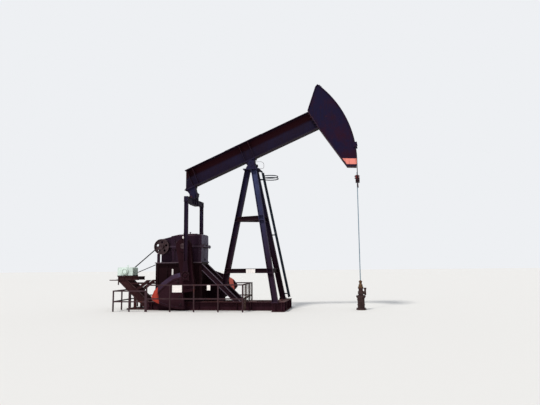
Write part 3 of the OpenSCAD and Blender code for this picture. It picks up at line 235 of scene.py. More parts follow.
def weatheredPaint(name, paint, fadedAndLit, high=None, rust=0.25, dust=0.35, gloss=0.35, grain=1.0, streaks=0.45,
                   dustTone=None, worn=0.35, bands=()):
    material, tree, surface, place = newMaterial(name)
    weather = weatherSettings
    facing = shaderNode(tree, "ShaderNodeNewGeometry").outputs["Normal"]
    normal = shaderNode(tree, "ShaderNodeSeparateXYZ", Vector=facing)

    # painted light: faces turned to the sun are painted lighter, mixed with faded paint in drifts
    sunlitSide = ramp(tree, dotted(tree, facing, weather["sunlitSide"]), *weather["facing"])
    litAndFaded = total(tree, product(tree, sunlitSide, weather["sunlitShare"]),
                 product(tree, cloudy(tree, place, patterns["clouds"], grain), weather["filmClouds"]))
    litAndFaded = ramp(tree, litAndFaded, *weather["litAndFaded"])
    base, top = tint(*paint), tint(*fadedAndLit)
    # painted sky reflection: when high colours are given, the paint turns bluer towards the top
    if high:
        height = shaderNode(tree, "ShaderNodeSeparateXYZ", Vector=place).outputs["Z"]
        rise = ramp(tree, height, weather["lowest"], weather["highest"])
        base = mixed(tree, rise, base, tint(*high[0]))
        top = mixed(tree, rise, top, tint(*high[1]))
    colour = mixed(tree, litAndFaded, base, top)
    speckle = cloudy(tree, place, patterns["speckle"], grain)
    pale = [channel * weather["speckleGain"] + weather["speckleLift"] for channel in fadedAndLit]
    colour = mixed(tree, product(tree, speckle, weather["speckleShare"]), colour, tint(*pale))
    for mask, shade in bands:
        colour = mixed(tree, mask(tree, place, normal), colour, tint(*shade))

    # dirt that has run down
    runs = cloudy(tree, stretched(tree, place, weather["runStretch"]), patterns["runs"], grain)
    colour = mixed(tree, product(tree, runs, streaks), colour, tint(*weather["streak"]))

    # rubbed edges, partly wear and partly painted highlight, with rust there and in patches
    edges = shaderNode(tree, "ShaderNodeBevel", {"samples": weather["edgeSamples"]},
                       Radius=weather["edgeWidth"])
    rubbedAndLitEdges = ramp(tree, dotted(tree, edges.outputs[0], facing), *weather["edgeTurn"])
    rubbedAndLitEdges = product(tree, rubbedAndLitEdges, cloudy(tree, place, patterns["chips"]))
    colour = mixed(tree, product(tree, rubbedAndLitEdges, worn), colour, tint(*weather["worn"]))
    low, high = [value - weather["rustSpread"] * rust for value in weather["patchRise"]]
    rusty = cloudy(tree, place, (*weather["patches"], low, high), grain)
    rusty = maths(tree, "MAXIMUM", product(tree, rusty, weather["rustShare"]), product(tree, rubbedAndLitEdges, rust))
    colour = mixed(tree, rusty, colour, rustTone(tree, place, weather["rustGrain"]))

    # dust on the faces that look up
    settled = product(tree, ramp(tree, normal.outputs["Z"], *weather["upward"]),
                      cloudy(tree, place, patterns["settled"]))
    colour = mixed(tree, product(tree, settled, dust), colour, tint(*(dustTone or weather["dust"])))
    tree.links.new(colour, surface.inputs["Base Color"])

    rough = total(tree, product(tree, rusty, weather["rustRough"]), 1.0 - gloss)
    rough = total(tree, rough, product(tree, speckle, weather["speckleRough"]))
    tree.links.new(rough, surface.inputs["Roughness"])
    surface.inputs["Specular IOR Level"].default_value = weather["sheen"]
    relief = total(tree, product(tree, rusty, noise(tree, place, *weather["relief"])),
                   product(tree, noise(tree, place, *weather["swell"]), weather["swellShare"]))
    bumped(tree, surface, relief, *weather["bump"])
    return material


# painted bands, each a mask from 0 to 1 with brushed, uneven edges

bandSettings = {
    "fine": 0.003,                   # softness of a thin line, then of a wide band
    "blur": 0.012,
    "brush": (5.0, 5.0, 0.6),
    "sides": (0.5, 0.6),             # how squarely a face looks sideways
    "headSlope": linkage["beamTilt"] - math.radians(26.5),
    "head": (0.085, 0.335),          # above the horse head's lower edge
    "headInside": (0.204, 0.199),    # within the head's side plates, and ahead of its front
    "headFront": (4.46, 4.48),
    "headBrush": 0.02,
    "headBlur": 0.008,
    "headColour": (238, 140, 124),
    "nearTip": -1.37,                # across the cranks' middle line, from the shaft
    "nearBrush": 0.05,
    "farTip": (1.37, 1.56),
    "farBrush": 0.04,
    "tipColour": (172, 62, 48),
    "farTipColour": (204, 104, 90),
    "web": (0.74, 1.04),             # over the middle of the centre bearing, square to the beam
    "webBrush": 0.06,
    "webBlur": 0.05,
    "webShadowColour": (38, 8, 15),
    "jointPlate": (3.33, 0, 0.23),   # the foot of the head's joint plate, and how it leans
    "jointLean": 0.1353,
    "joint": (-0.034, 0.004),
    "jointHighlightColour": (118, 84, 92),
    "front": (0.25, 0.8),
    "frontHighlightColour": (98, 90, 106),
    "rim": (0.1, 0.45),
    "weightTopHighlightColour": (62, 51, 74),
    "strutFoot": (-0.61, 0, 0.36),
    "strutAcross": (0.686, 0, 0.728),
    "strutFlange": (0.085, 0.12),    # from a strut's middle line to its flange's edge
    "strutHighlightColour": (104, 90, 102),
    "levelBrush": 0.01,
    "plateEdge": (2.006, 2.054),
    "plateEdgeHighlightColour": (84, 70, 76),
    "lip": (2.698, 2.762),
    "lipHighlightColour": (60, 46, 58),
    "bellShadeColour": (150, 166, 146),
    "bell": (-5.79, 0.09, 0.125),    # the motor's middle, and the ring of its end bell
    "bellShare": 0.75,
}


def between(tree, value, low, high, soft):
    rise = ramp(tree, value, low - soft, low + soft)
    fall = ramp(tree, value, high + soft, high - soft)
    return product(tree, rise, fall)


def brushed(tree, place, distance, amount):
    wander = maths(tree, "SUBTRACT", noise(tree, place, *bandSettings["brush"]), 0.5)
    return total(tree, distance, product(tree, wander, amount))


def onSides(tree, normal):
    return ramp(tree, maths(tree, "ABSOLUTE", normal.outputs["Y"]), *bandSettings["sides"])


def headBand(tree, place, normal):
    slope = bandSettings["headSlope"]
    above = along(tree, place, centreBearing, (-math.sin(slope), 0, math.cos(slope)))
    strip = between(tree, brushed(tree, place, above, bandSettings["headBrush"]), *bandSettings["head"],
                    bandSettings["headBlur"])
    across = maths(tree, "ABSOLUTE", along(tree, place, centreBearing, (0, 1, 0)))
    inside = ramp(tree, across, *bandSettings["headInside"])
    front = ramp(tree, along(tree, place, centreBearing, (1, 0, 0)), *bandSettings["headFront"])
    return product(tree, product(tree, strip, onSides(tree, normal)), maths(tree, "MAXIMUM", inside, front))


# painted shadow of the top flange on the upper part of the beam's web
def webShade(tree, place, normal):
    above = along(tree, place, centreBearing, onBeam.to_3x3() @ Vector((0, 0, 1)))
    strip = between(tree, brushed(tree, place, above, bandSettings["webBrush"]), *bandSettings["web"],
                    bandSettings["webBlur"])
    return product(tree, strip, onSides(tree, normal))


# painted highlight: a thin light line along the edge of the head's joint plate
def jointHighlight(tree, place, normal):
    lean = onBeam.to_3x3() @ Vector((1, 0, bandSettings["jointLean"])).normalized()
    past = along(tree, place, onBeam @ Vector(bandSettings["jointPlate"]), lean)
    strip = between(tree, past, *bandSettings["joint"], bandSettings["fine"])
    return product(tree, strip, onSides(tree, normal))


# painted reflection: faces that look towards the well are painted lighter, in patches
def frontHighlight(tree, place, normal):
    return product(tree, ramp(tree, normal.outputs["X"], *bandSettings["front"]),
                   cloudy(tree, place, patterns["front"]))


# painted shade: a darker ring on the curve of the motor's end bell
def bellShadeRing(tree, place, normal):
    x, inner, outer = bandSettings["bell"]
    middle = (x, 0, motorHeight)
    away = shaderNode(tree, "ShaderNodeCombineXYZ", X=along(tree, place, middle, (1, 0, 0)),
                      Z=along(tree, place, middle, (0, 0, 1))).outputs[0]
    away = shaderNode(tree, "ShaderNodeVectorMath", {"operation": "LENGTH"}, i0=away).outputs["Value"]
    return product(tree, between(tree, away, inner, outer, bandSettings["blur"]), bandSettings["bellShare"])


# painted highlight: the weights' upward faces are lighter and purple, in patches
def weightTopHighlight(tree, place, normal):
    return product(tree, ramp(tree, normal.outputs["Z"], *bandSettings["rim"]),
                   cloudy(tree, place, patterns["rim"]))


# painted highlight: a light strip along the flange edges on the struts' sides
def strutEdgeHighlight(tree, place, normal):
    off = maths(tree, "ABSOLUTE", along(tree, place, bandSettings["strutFoot"], bandSettings["strutAcross"]))
    strip = between(tree, off, *bandSettings["strutFlange"], bandSettings["fine"])
    return product(tree, strip, onSides(tree, normal))


def level(heights):
    # a lit edge between two heights
    def mask(tree, place, normal):
        height = along(tree, place, (0, 0, 0), (0, 0, 1))
        height = brushed(tree, place, height, bandSettings["levelBrush"])
        return product(tree, between(tree, height, *heights, bandSettings["fine"]), onSides(tree, normal))
    return mask


def acrossCrank(tree, place):
    return along(tree, place, crankShaft, (math.cos(linkage["crankLean"]), 0, math.sin(linkage["crankLean"])))


def nearTipBand(tree, place, normal):
    beyond = brushed(tree, place, acrossCrank(tree, place), bandSettings["nearBrush"])
    tip, blur = bandSettings["nearTip"], bandSettings["blur"]
    return ramp(tree, beyond, tip + blur, tip - blur)


def farTipBand(tree, place, normal):
    beyond = brushed(tree, place, acrossCrank(tree, place), bandSettings["farBrush"])
    return between(tree, beyond, *bandSettings["farTip"], bandSettings["blur"])


# plain metals, rope and rubber

metalSettings = {
    "patches": (4.0, 8.0, 0.7),
    "patchRise": (0.72, 0.82),       # where rust starts and is full on metal that has none
    "rustSpread": (0.3, 0.25),       # how far each of them comes down with rust
    "sheen": 0.12,
    "rustRough": 0.4,
    "mottleRough": 0.15,
    "rustGrain": (30.0, 4.0),
    "relief": (90.0, 4.0),
    "bump": (0.25, 0.002),
}


def bareMetal(name, light, dark, roughness=0.38, metal=0.9, rust=0.2, grain=1.0):
    material, tree, surface, place = newMaterial(name)
    settings = metalSettings
    mottle = cloudy(tree, place, patterns["mottle"], grain)
    colour = mixed(tree, mottle, tint(*dark), tint(*light))
    low, high = [rise - spread * rust for rise, spread in zip(settings["patchRise"], settings["rustSpread"])]
    rusty = cloudy(tree, place, (*settings["patches"], low, high), grain)
    colour = mixed(tree, rusty, colour, rustTone(tree, place, settings["rustGrain"]))
    tree.links.new(colour, surface.inputs["Base Color"])
    clean = maths(tree, "SUBTRACT", 1.0, rusty)
    tree.links.new(product(tree, clean, metal), surface.inputs["Metallic"])
    rough = total(tree, product(tree, rusty, settings["rustRough"]),
                  total(tree, product(tree, mottle, settings["mottleRough"]), roughness))
    tree.links.new(rough, surface.inputs["Roughness"])
    surface.inputs["Specular IOR Level"].default_value = settings["sheen"]
    scale, detail = settings["relief"]
    bumped(tree, surface, noise(tree, place, scale * grain, detail), *settings["bump"])
    return material


rubberSettings = {
    "dust": (82, 76, 74),
    "dustShare": 0.4,
    "roughness": 0.75,
    "weave": (160.0, 3.0),
    "bump": (0.3, 0.002),
}


def rubber(name, colour):
    material, tree, surface, place = newMaterial(name)
    settings = rubberSettings
    dusty = product(tree, cloudy(tree, place, patterns["dusty"]), settings["dustShare"])
    tree.links.new(mixed(tree, dusty, tint(*colour), tint(*settings["dust"])), surface.inputs["Base Color"])
    surface.inputs["Roughness"].default_value = settings["roughness"]
    surface.inputs["Specular IOR Level"].default_value = weatherSettings["sheen"]
    bumped(tree, surface, noise(tree, place, *settings["weave"]), *settings["bump"])
    return material


finishes = {
    "beam": weatheredPaint("beamPaint", (27, 11, 20), (28, 21, 42), rust=0.1, dust=0.4,
                           bands=[(webShade, bandSettings["webShadowColour"])]),
    "head": weatheredPaint("headPaint", (50, 10, 14), (23, 18, 44), rust=0.2, dust=0.35, grain=1.6,
                           bands=[(jointHighlight, bandSettings["jointHighlightColour"]),
                                  (headBand, bandSettings["headColour"])]),
    "post": weatheredPaint("postPaint", (27, 7, 12), (34, 16, 28), high=((20, 18, 38), (34, 32, 58)),
                           rust=0.2, dust=0.4),
    # the near front leg: a lighter, bluer copy of the post paint, painted light on its lit faces
    "litFrontLeg": weatheredPaint("litFrontLegPaint", (30, 14, 26), (44, 28, 44),
                               high=((32, 38, 68), (64, 70, 104)), rust=0.2, dust=0.4),
    "brace": weatheredPaint("bracePaint", (24, 7, 12), (31, 14, 22), rust=0.2, dust=0.5),
    "crank": weatheredPaint("crankPaint", (26, 4, 8), (38, 14, 22), rust=0.16, dust=0.5),
    "nearWeight": weatheredPaint("nearWeightPaint", (38, 11, 13), (47, 24, 32), rust=0.14, dust=0.8,
                                 dustTone=(102, 90, 126),
                                 bands=[(weightTopHighlight, bandSettings["weightTopHighlightColour"]),
                                        (nearTipBand, bandSettings["tipColour"])]),
    # the far weight: a darker copy of the near weight's paint, as painted shade
    "farWeight": weatheredPaint("farWeightShadedPaint", (24, 5, 9), (34, 14, 22), rust=0.14, dust=0.6,
                                dustTone=(70, 58, 84),
                                bands=[(weightTopHighlight, bandSettings["weightTopHighlightColour"]),
                                       (farTipBand, bandSettings["farTipColour"])]),
    "gearbox": weatheredPaint("gearboxPaint", (30, 11, 19), (42, 25, 38), rust=0.16, dust=0.5,
                              bands=[(frontHighlight, bandSettings["frontHighlightColour"]),
                                     (level(bandSettings["lip"]), bandSettings["lipHighlightColour"])]),
    "pedestal": weatheredPaint("pedestalPaint", (21, 3, 6), (27, 9, 13), rust=0.16, dust=0.6,
                               dustTone=(120, 104, 112),
                               bands=[(level(bandSettings["plateEdge"]), bandSettings["plateEdgeHighlightColour"])]),
    "strut": weatheredPaint("strutPaint", (26, 5, 8), (34, 15, 24), rust=0.16, dust=0.9, worn=0.8,
                            dustTone=(116, 100, 112), bands=[(strutEdgeHighlight, bandSettings["strutHighlightColour"])]),
    "skid": weatheredPaint("skidPaint", (38, 9, 14), (52, 26, 34), rust=0.24, dust=0.8,
                           dustTone=(110, 78, 70)),
    "stand": weatheredPaint("standPaint", (36, 12, 16), (56, 32, 32), rust=0.24, dust=0.7,
                            dustTone=(124, 96, 92)),
    "motor": weatheredPaint("motorPaint", (190, 202, 186), (214, 226, 214), rust=0.03, dust=0.2, worn=0.1,
                            dustTone=(226, 234, 214), bands=[(bellShadeRing, bandSettings["bellShadeColour"])]),
    "ladder": weatheredPaint("ladderPaint", (14, 24, 32), (30, 42, 54), rust=0.16, dust=0.3),
    "fence": weatheredPaint("fencePaint", (44, 26, 26), (66, 48, 52), rust=0.34, dust=0.6),
    "plate": weatheredPaint("platePaint", (244, 237, 230), (234, 225, 217), rust=0.0, dust=0.1, streaks=0.08,
                            worn=0.1),
    "well": weatheredPaint("wellIron", (40, 24, 22), (70, 54, 52), rust=0.3, dust=0.6,
                           dustTone=(130, 112, 104)),
    "brassy": weatheredPaint("stuffingIron", (66, 42, 28), (100, 76, 52), rust=0.4, dust=0.5),
    "clamp": weatheredPaint("clampPaint", (126, 48, 42), (100, 42, 42), rust=0.2, dust=0.3),
    "steel": bareMetal("shaftSteel", (92, 76, 78), (44, 28, 32), rust=0.4),
    "rod": bareMetal("rodSteel", (160, 178, 190), (112, 132, 144), roughness=0.24, rust=0.02),
    "iron": bareMetal("castIron", (40, 20, 26), (26, 10, 14), roughness=0.6, metal=0.1, rust=0.3),
    "bolt": bareMetal("boltSteel", (66, 48, 54), (34, 18, 22), roughness=0.5, metal=0.3, rust=0.4, grain=4.0),
    "wire": bareMetal("fenceWire", (104, 84, 72), (66, 48, 40), roughness=0.6, metal=0.2, rust=0.5,
                      grain=3.0),
    "rope": bareMetal("wireRope", (40, 34, 38), (20, 14, 18), roughness=0.5, metal=0.3, rust=0.2, grain=3.0),
    "belt": rubber("beltRubber", (22, 22, 28)),
}

nodeFinish = {
    "beam": ["walking_beam"],
    "head": ["horse_head"],
    "post": ["far_front_leg", "rear_leg", "post_cap", "beam_saddle", "tail_bearing", "equalizer",
             "near_pitman", "far_pitman"],
    "litFrontLeg": ["near_front_leg"],
    "brace": ["upper_brace", "lower_brace"],
    "crank": ["near_crank", "far_crank", "near_wrist_bearing", "far_wrist_bearing"],
    "nearWeight": ["near_weight"],
    "farWeight": ["far_weight"],
    "gearbox": ["gearbox_case", "gearbox_cover"],
    "pedestal": ["pedestal"],
    "strut": ["near_strut", "far_strut"],
    "skid": ["near_skid_beam", "far_skid_beam", "skid_cross_beams", "front_skid_beams"],
    "stand": ["motor_stand"],
    "motor": ["motor"],
    "ladder": ["ladder", "ladder_hoop"],
    "fence": ["near_fence", "far_fence", "front_fence", "rear_fence"],
    "plate": ["fence_signs", "brace_sign"],
    "well": ["casing_head", "pumping_tee", "wellhead_valve"],
    "brassy": ["stuffing_box"],
    "clamp": ["rod_clamp"],
    "steel": ["crankshaft", "brake_drum"],
    "rod": ["polished_rod"],
    "iron": ["large_sheave", "motor_sheave", "carrier_bar"],
    "rope": ["bridle_wrap", "bridle_drop"],
    "belt": ["drive_belts"],
}

for finish, names in nodeFinish.items():
    for name in names:
        mesh = nodes[name].data
        mesh.materials.clear()
        mesh.materials.append(finishes[finish])
print("finishes on", sum(len(names) for names in nodeFinish.values()), "nodes")


# small helpers for modelling

def pick(piece, kind, test):
    # leaves the piece in edit mode with only the faces, edges or points that pass the test selected
    bpy.ops.object.mode_set(mode="EDIT")
    bpy.ops.mesh.select_mode(type=kind)
    bpy.ops.mesh.select_all(action="DESELECT")
    bpy.ops.object.mode_set(mode="OBJECT")
    mesh = piece.data
    for part in {"FACE": mesh.polygons, "EDGE": mesh.edges, "VERT": mesh.vertices}[kind]:
        part.select = test(part)
    bpy.ops.object.mode_set(mode="EDIT")


def backToObject():
    bpy.ops.object.mode_set(mode="OBJECT")


def only(*pieces):
    bpy.ops.object.select_all(action="DESELECT")
    for piece in pieces:
        piece.select_set(True)
    bpy.context.view_layer.objects.active = pieces[0]


def settle(piece):
    only(piece)
    bpy.ops.object.transform_apply(location=True, rotation=True, scale=True)


def added(primitive, **settings):
    # a new piece, made by one of Blender's mesh primitives
    bpy.ops.object.select_all(action="DESELECT")
    primitive(**settings)
    piece = bpy.context.object
    settle(piece)
    return piece


def joined(pieces, name):
    only(*pieces)
    if len(pieces) > 1:
        bpy.ops.object.join()
    piece = bpy.context.view_layer.objects.active
    piece.name = piece.data.name = name
    settle(piece)
    return piece


def copied(master, place):
    twin = master.copy()
    twin.data = master.data.copy()
    twin.matrix_world = place
    bpy.context.collection.objects.link(twin)
    return twin


def finished(piece, finish, body=None, smooth=30):
    piece.data.materials.clear()
    piece.data.materials.append(finishes[finish])
    only(piece)
    bpy.ops.object.shade_smooth_by_angle(angle=math.radians(smooth))
    if body:
        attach(piece, body)
    return piece


def outward(piece):
    pick(piece, "FACE", lambda face: True)
    bpy.ops.mesh.normals_make_consistent(inside=False)
    backToObject()


def discard(piece):
    mesh = piece.data
    bpy.data.objects.remove(piece)
    bpy.data.meshes.remove(mesh)


squarely = 0.9                       # how much of a normal points the way that its face looks


def looksUp(face):
    return face.normal.z > squarely


def looksDown(face):
    return face.normal.z < -squarely


# one hex bolt with its washer and stud, one unit across the flats, standing on its own Z

boltSettings = {
    "washerSides": 14,
    "washerRadius": 0.86,
    "washerHeight": 0.14,
    "washerRim": 0.05,
    "washerRise": 0.03,
    "nutHeight": 0.78,
    "chamfer": 0.07,
    "studRadius": 0.42,
    "studTaper": 0.9,
    "studHeight": 0.34,
    "studTip": 0.05,
}


def makeBolt(settings):
    washerHeight, nutHeight = settings["washerHeight"], settings["nutHeight"]
    chamfer = settings["chamfer"]
    nut = added(bpy.ops.mesh.primitive_cylinder_add, vertices=6, radius=0.5 / math.cos(math.radians(30)),
                depth=nutHeight, location=(0, 0, washerHeight + nutHeight / 2))
    pick(nut, "FACE", looksUp)
    bpy.ops.mesh.inset(thickness=chamfer)
    bpy.ops.transform.translate(value=(0, 0, chamfer))
    bpy.ops.mesh.inset(thickness=0.5 - chamfer - settings["studRadius"] * settings["studTaper"])
    bpy.ops.mesh.extrude_region_move(TRANSFORM_OT_translate={"value": (0, 0, settings["studHeight"])})
    bpy.ops.mesh.inset(thickness=settings["studTip"])
    bpy.ops.transform.translate(value=(0, 0, settings["studTip"]))
    backToObject()
    pick(nut, "FACE", looksDown)
    bpy.ops.mesh.delete(type="FACE")
    backToObject()
    washer = added(bpy.ops.mesh.primitive_cylinder_add, vertices=settings["washerSides"],
                   radius=settings["washerRadius"], depth=washerHeight, location=(0, 0, washerHeight / 2))
    pick(washer, "FACE", looksUp)
    bpy.ops.mesh.inset(thickness=settings["washerRim"])
    bpy.ops.transform.translate(value=(0, 0, settings["washerRise"]))
    backToObject()
    bolt = joined([nut, washer], "bolt")
    print("bolt modelled:", len(bolt.data.polygons), "faces")
    return bolt


boltMaster = makeBolt(boltSettings)


def boltUp(name, body, spots, finish="bolt"):
    # each spot is a frame, a point in it, the way the bolt points and its width across the flats
    bolts = []
    for where, point, way, width in spots:
        stand = (where.to_3x3() @ Vector(way)).to_track_quat("Z", "X").to_matrix().to_4x4()
        place = Matrix.Translation(where @ Vector(point)) @ stand @ Matrix.Scale(width, 4)
        bolts.append(copied(boltMaster, place))
    return finished(joined(bolts, name), finish, body)


def mirrored(values):
    return [side * value for value in values for side in (-1, 1)]


def ring(centre, radius, count, start=0.0):
    # points of a bolt circle that lies across the unit, as X and Z
    angles = [start + 2 * math.pi * i / count for i in range(count)]
    return [(centre[0] + radius * math.cos(angle), centre[1] + radius * math.sin(angle)) for angle in angles]


def rows(where, xs, ys, z, way, width):
    # a bolt at each X for each Y
    return [(where, (x, y, z), way, width) for y in ys for x in xs]


up, down = (0, 0, 1), (0, 0, -1)
ahead, back = (1, 0, 0), (-1, 0, 0)

# where the bolts are on each piece, with their widths across the flats

gearboxBolts = {
    "lipTop": 2.76,
    "lipThick": 0.06,
    "side": 0.541,
    "lipSide": (-3.59, -3.18, -3.06, -2.56, -2.43, -2.21, -2.11),
    "foot": (-3.48, -3.15, -2.57, -2.21),
    "footTop": 2.085,
    "lipFront": -2.115,
    "frontY": (0.08, 0.25, 0.42),
    "lipWidth": 0.036,
    "pinionY": 0.381,
    "pinionSide": (-4.16, -3.79, -3.68),
    "pinionEnd": -4.222,
    "pinionEndY": (0.09, 0.27),
    "pinionWidth": 0.032,
    "lidX": (-3.045, -2.495),
    "lidRow": (0.06, 0.18, 0.30),
    "lidY": (-0.325, 0.325),
    "lidLine": (-2.9, -2.77, -2.64),
    "lidTop": 3.282,
    "lidWidth": 0.018,
    "cover": (0.216, 12, 0.57),      # radius, number and distance from the middle of the unit
    "coverWidth": 0.026,
    "pinionBack": 0.54,
    "pinionCover": (0.1305, 8, 0.55),
    "pinionCoverWidth": 0.018,
}


def gearboxSpots(settings):
    spots = []
    lipTop, lipWidth = settings["lipTop"], settings["lipWidth"]
    lipLow = lipTop - settings["lipThick"]
    for y in mirrored([settings["side"]]):
        for x in settings["lipSide"]:
            spots += [(onUnit, (x, y, lipTop), up, lipWidth), (onUnit, (x, y, lipLow), down, lipWidth)]
        for x in settings["foot"]:
            spots.append((onUnit, (x, y, settings["footTop"]), up, lipWidth))
    for y in mirrored(settings["frontY"]):
        x = settings["lipFront"]
        spots += [(onUnit, (x, y, lipTop), up, lipWidth), (onUnit, (x, y, lipLow), down, lipWidth)]
    width = settings["pinionWidth"]
    spots += rows(onUnit, settings["pinionSide"], mirrored([settings["pinionY"]]), lipTop, up, width)
    spots += rows(onUnit, [settings["pinionEnd"]], mirrored(settings["pinionEndY"]), lipTop, up, width)
    lidTop, width = settings["lidTop"], settings["lidWidth"]
    for x in settings["lidX"]:
        spots += [(onUnit, (x, y, lidTop), up, width) for y in mirrored(settings["lidRow"])]
    spots += rows(onUnit, settings["lidLine"], settings["lidY"], lidTop, up, width)
    for side in (-1, 1):
        radius, count, out = settings["cover"]
        for x, z in ring((crankShaft.x, crankShaft.z), radius, count, math.pi / count):
            spots.append((onUnit, (x, side * out, z), (0, side, 0), settings["coverWidth"]))
        radius, count, out = settings["pinionCover"]
        pinion = (crankShaft.x - settings["pinionBack"], crankShaft.z)
        for x, z in ring(pinion, radius, count, math.pi / count):
            spots.append((onUnit, (x, side * out, z), (0, side, 0), settings["pinionCoverWidth"]))
    return spots


postBolts = {
    "seat": (0.198, 6.135),          # the housings' feet on the top plate, and their caps
    "seatY": (0.265, 0.335),
    "cap": (0.163, 6.355),
    "capY": 0.3,
    "housingWidth": 0.034,
    "feet": ((1.13, 1.15), (1.13, -1.15), (-1.41, 0.0)),
    "footOut": 0.127,
    "footTop": 0.39,
    "footWidth": 0.036,
    "strutX": (-0.79, -0.455),       # the feet of the pedestal's struts
    "strutY": (0.355, 0.485),
    "strutTop": 0.384,
    "strutWidth": 0.03,
}


def postSpots(settings):
    spots = []
    for (out, top), line in ((settings["seat"], settings["seatY"]), (settings["cap"], [settings["capY"]])):
        spots += rows(onUnit, mirrored([out]), mirrored(line), top, up, settings["housingWidth"])
    corner = mirrored([settings["footOut"]])
    for x, y in settings["feet"]:
        spots += [(onUnit, (x + dx, y + dy, settings["footTop"]), up, settings["footWidth"])
                  for dx in corner for dy in corner]
    return spots + rows(onUnit, settings["strutX"], mirrored(settings["strutY"]), settings["strutTop"], up,
                        settings["strutWidth"])


skidBolts = {
    "webX": -0.29,                   # through the ends of a cross beam
    "webHalf": 0.0142,
    "webY": (0.46, 0.58),
    "webZ": (0.10, 0.18, 0.26),
    "webWidth": 0.03,
    "motorX": -5.79,
    "motorFoot": (0.385, 0.19),
    "motorTop": 1.49,
    "motorWidth": 0.026,
}


def skidSpots(settings):
    spots = []
    web, half, width = settings["webX"], settings["webHalf"], settings["webWidth"]
    for y in mirrored(settings["webY"]):
        for z in settings["webZ"]:
            spots += [(onUnit, (web - half, y, z), back, width), (onUnit, (web + half, y, z), ahead, width)]
    out, aside = settings["motorFoot"]
    for x in mirrored([out]):
        spots += [(onUnit, (settings["motorX"] + x, y, settings["motorTop"]), up, settings["motorWidth"])
                  for y in mirrored([aside])]
    return spots


beamBolts = {
    "flangeY": 0.13,
    "flangeLow": 0.20,
    "flangeTop": 0.262,
    "saddle": 0.235,
    "tailX": -2.977,
    "tail": 0.213,
    "flangeWidth": 0.034,
    "joint": (3.2995, 0.23),         # the foot of the head's joint plate
    "jointSlope": -0.115 / 0.85,
    "jointY": (0.09, 0.155),
    "jointZ": (0.34, 0.50, 0.66, 0.82, 0.98),
    "jointWidth": 0.03,
}


def beamSpots(settings):
    spots = []
    width = settings["flangeWidth"]
    low, top = (settings["flangeLow"], down), (settings["flangeTop"], up)
    tail = (settings["tailX"], settings["tail"])
    for y in mirrored([settings["flangeY"]]):
        for middle, out, (z, way) in ((0, settings["saddle"], low), (*tail, low), (*tail, top)):
            spots += [(onBeam, (middle + x, y, z), way, width) for x in mirrored([out])]
    slope = settings["jointSlope"]
    foot, start = settings["joint"]
    for y in mirrored(settings["jointY"]):
        for z in settings["jointZ"]:
            spots.append((onBeam, (foot + slope * (z - start), y, z), (-1, 0, slope), settings["jointWidth"]))
    return spots


crankBolts = {
    "clamp": (0.249, 0.055, 0.2),
    "clampWidth": 0.045,
    "weightX": 0.435,
    "weightOut": 0.933,
    "weightZ": (-1.46, -1.78, -2.10, -2.42),
    "weightWidth": 0.06,
}


def crankSpots(settings):
    spots = []
    out, aside, z = settings["clamp"]
    for side in (-1, 1):
        plane = side * linkage["crankPlane"]
        for y in mirrored([aside]):
            spots += [(onCrank, (x, plane + y, z), (x, 0, 0), settings["clampWidth"])
                      for x in mirrored([out])]
        for height in settings["weightZ"]:
            point = (side * settings["weightX"], side * settings["weightOut"], height)
            spots.append((onCrank, point, (0, side, 0), settings["weightWidth"]))
    return spots


pitmanBolts = {
    "cover": (0.150, 8, 1.18),       # radius, number and distance from the middle of the unit
    "coverWidth": 0.02,
    "head": (0.042, 0.033, -0.418),
    "headWidth": 0.024,
    "foot": (0.14, 0.045, -0.2),
    "footWidth": 0.026,
    "middle": (0.088, 0.30, -0.18),  # under the tail bearing
    "middleWidth": 0.022,
}


def pitmanSpots(settings):
    spots = []
    length = linkage["pitmanLength"]
    radius, count, cover = settings["cover"]
    for side in (-1, 1):
        plane = side * linkage["pitmanPlane"]
        for x, z in ring((0, -length), radius, count, math.pi / count):
            spots.append((onPitman, (x, side * cover, z), (0, side, 0), settings["coverWidth"]))
        x, y, z = settings["head"]
        spots += rows(onPitman, (-x, x), (plane - y, plane + y), z, down, settings["headWidth"])
        x, y, z = settings["foot"]
        spots += rows(onPitman, (-x, x), (plane - y, plane + y), z - length, down, settings["footWidth"])
    x, y, z = settings["middle"]
    return spots + rows(onPitman, (-x, x), (-y, y), z, up, settings["middleWidth"])


rodBolts = {
    "back": 4.50,
    "front": 4.64,
    "y": 0.052,
    "z": (5.56, 5.64),
    "width": 0.03,
}


def rodSpots(settings):
    spots = []
    for y in mirrored([settings["y"]]):
        for z in settings["z"]:
            spots += [(onUnit, (settings["back"], y, z), back, settings["width"]),
                      (onUnit, (settings["front"], y, z), ahead, settings["width"])]
    return spots


wellBolts = {
    "count": 10,
    "baseRadius": 0.176,
    "baseTop": 0.06,
    "flangeRadius": 0.166,
    "flangeTop": 0.58,
    "flangeLow": 0.52,
    "width": 0.026,
}


def wellSpots(settings):
    spots = []
    middle, count, width = (linkage["headRadius"], 0), settings["count"], settings["width"]
    for x, y in ring(middle, settings["baseRadius"], count):
        spots.append((onUnit, (x, y, settings["baseTop"]), up, width))
    for x, y in ring(middle, settings["flangeRadius"], count, math.pi / count):
        spots += [(onUnit, (x, y, settings["flangeTop"]), up, width),
                  (onUnit, (x, y, settings["flangeLow"]), down, width)]
    return spots


boltUp("gearboxBolts", "base", gearboxSpots(gearboxBolts))
boltUp("postBolts", "base", postSpots(postBolts))
boltUp("skidBolts", "base", skidSpots(skidBolts))
boltUp("wellBolts", "base", wellSpots(wellBolts))
boltUp("beamBolts", "beam", beamSpots(beamBolts))
boltUp("crankBolts", "crank", crankSpots(crankBolts))
boltUp("pitmanBolts", "pitmans", pitmanSpots(pitmanBolts))
boltUp("clampBolts", "rod", rodSpots(rodBolts))
discard(boltMaster)
print("bolts on every body")


# wire ropes of the bridle, each a lobed section wound along its length

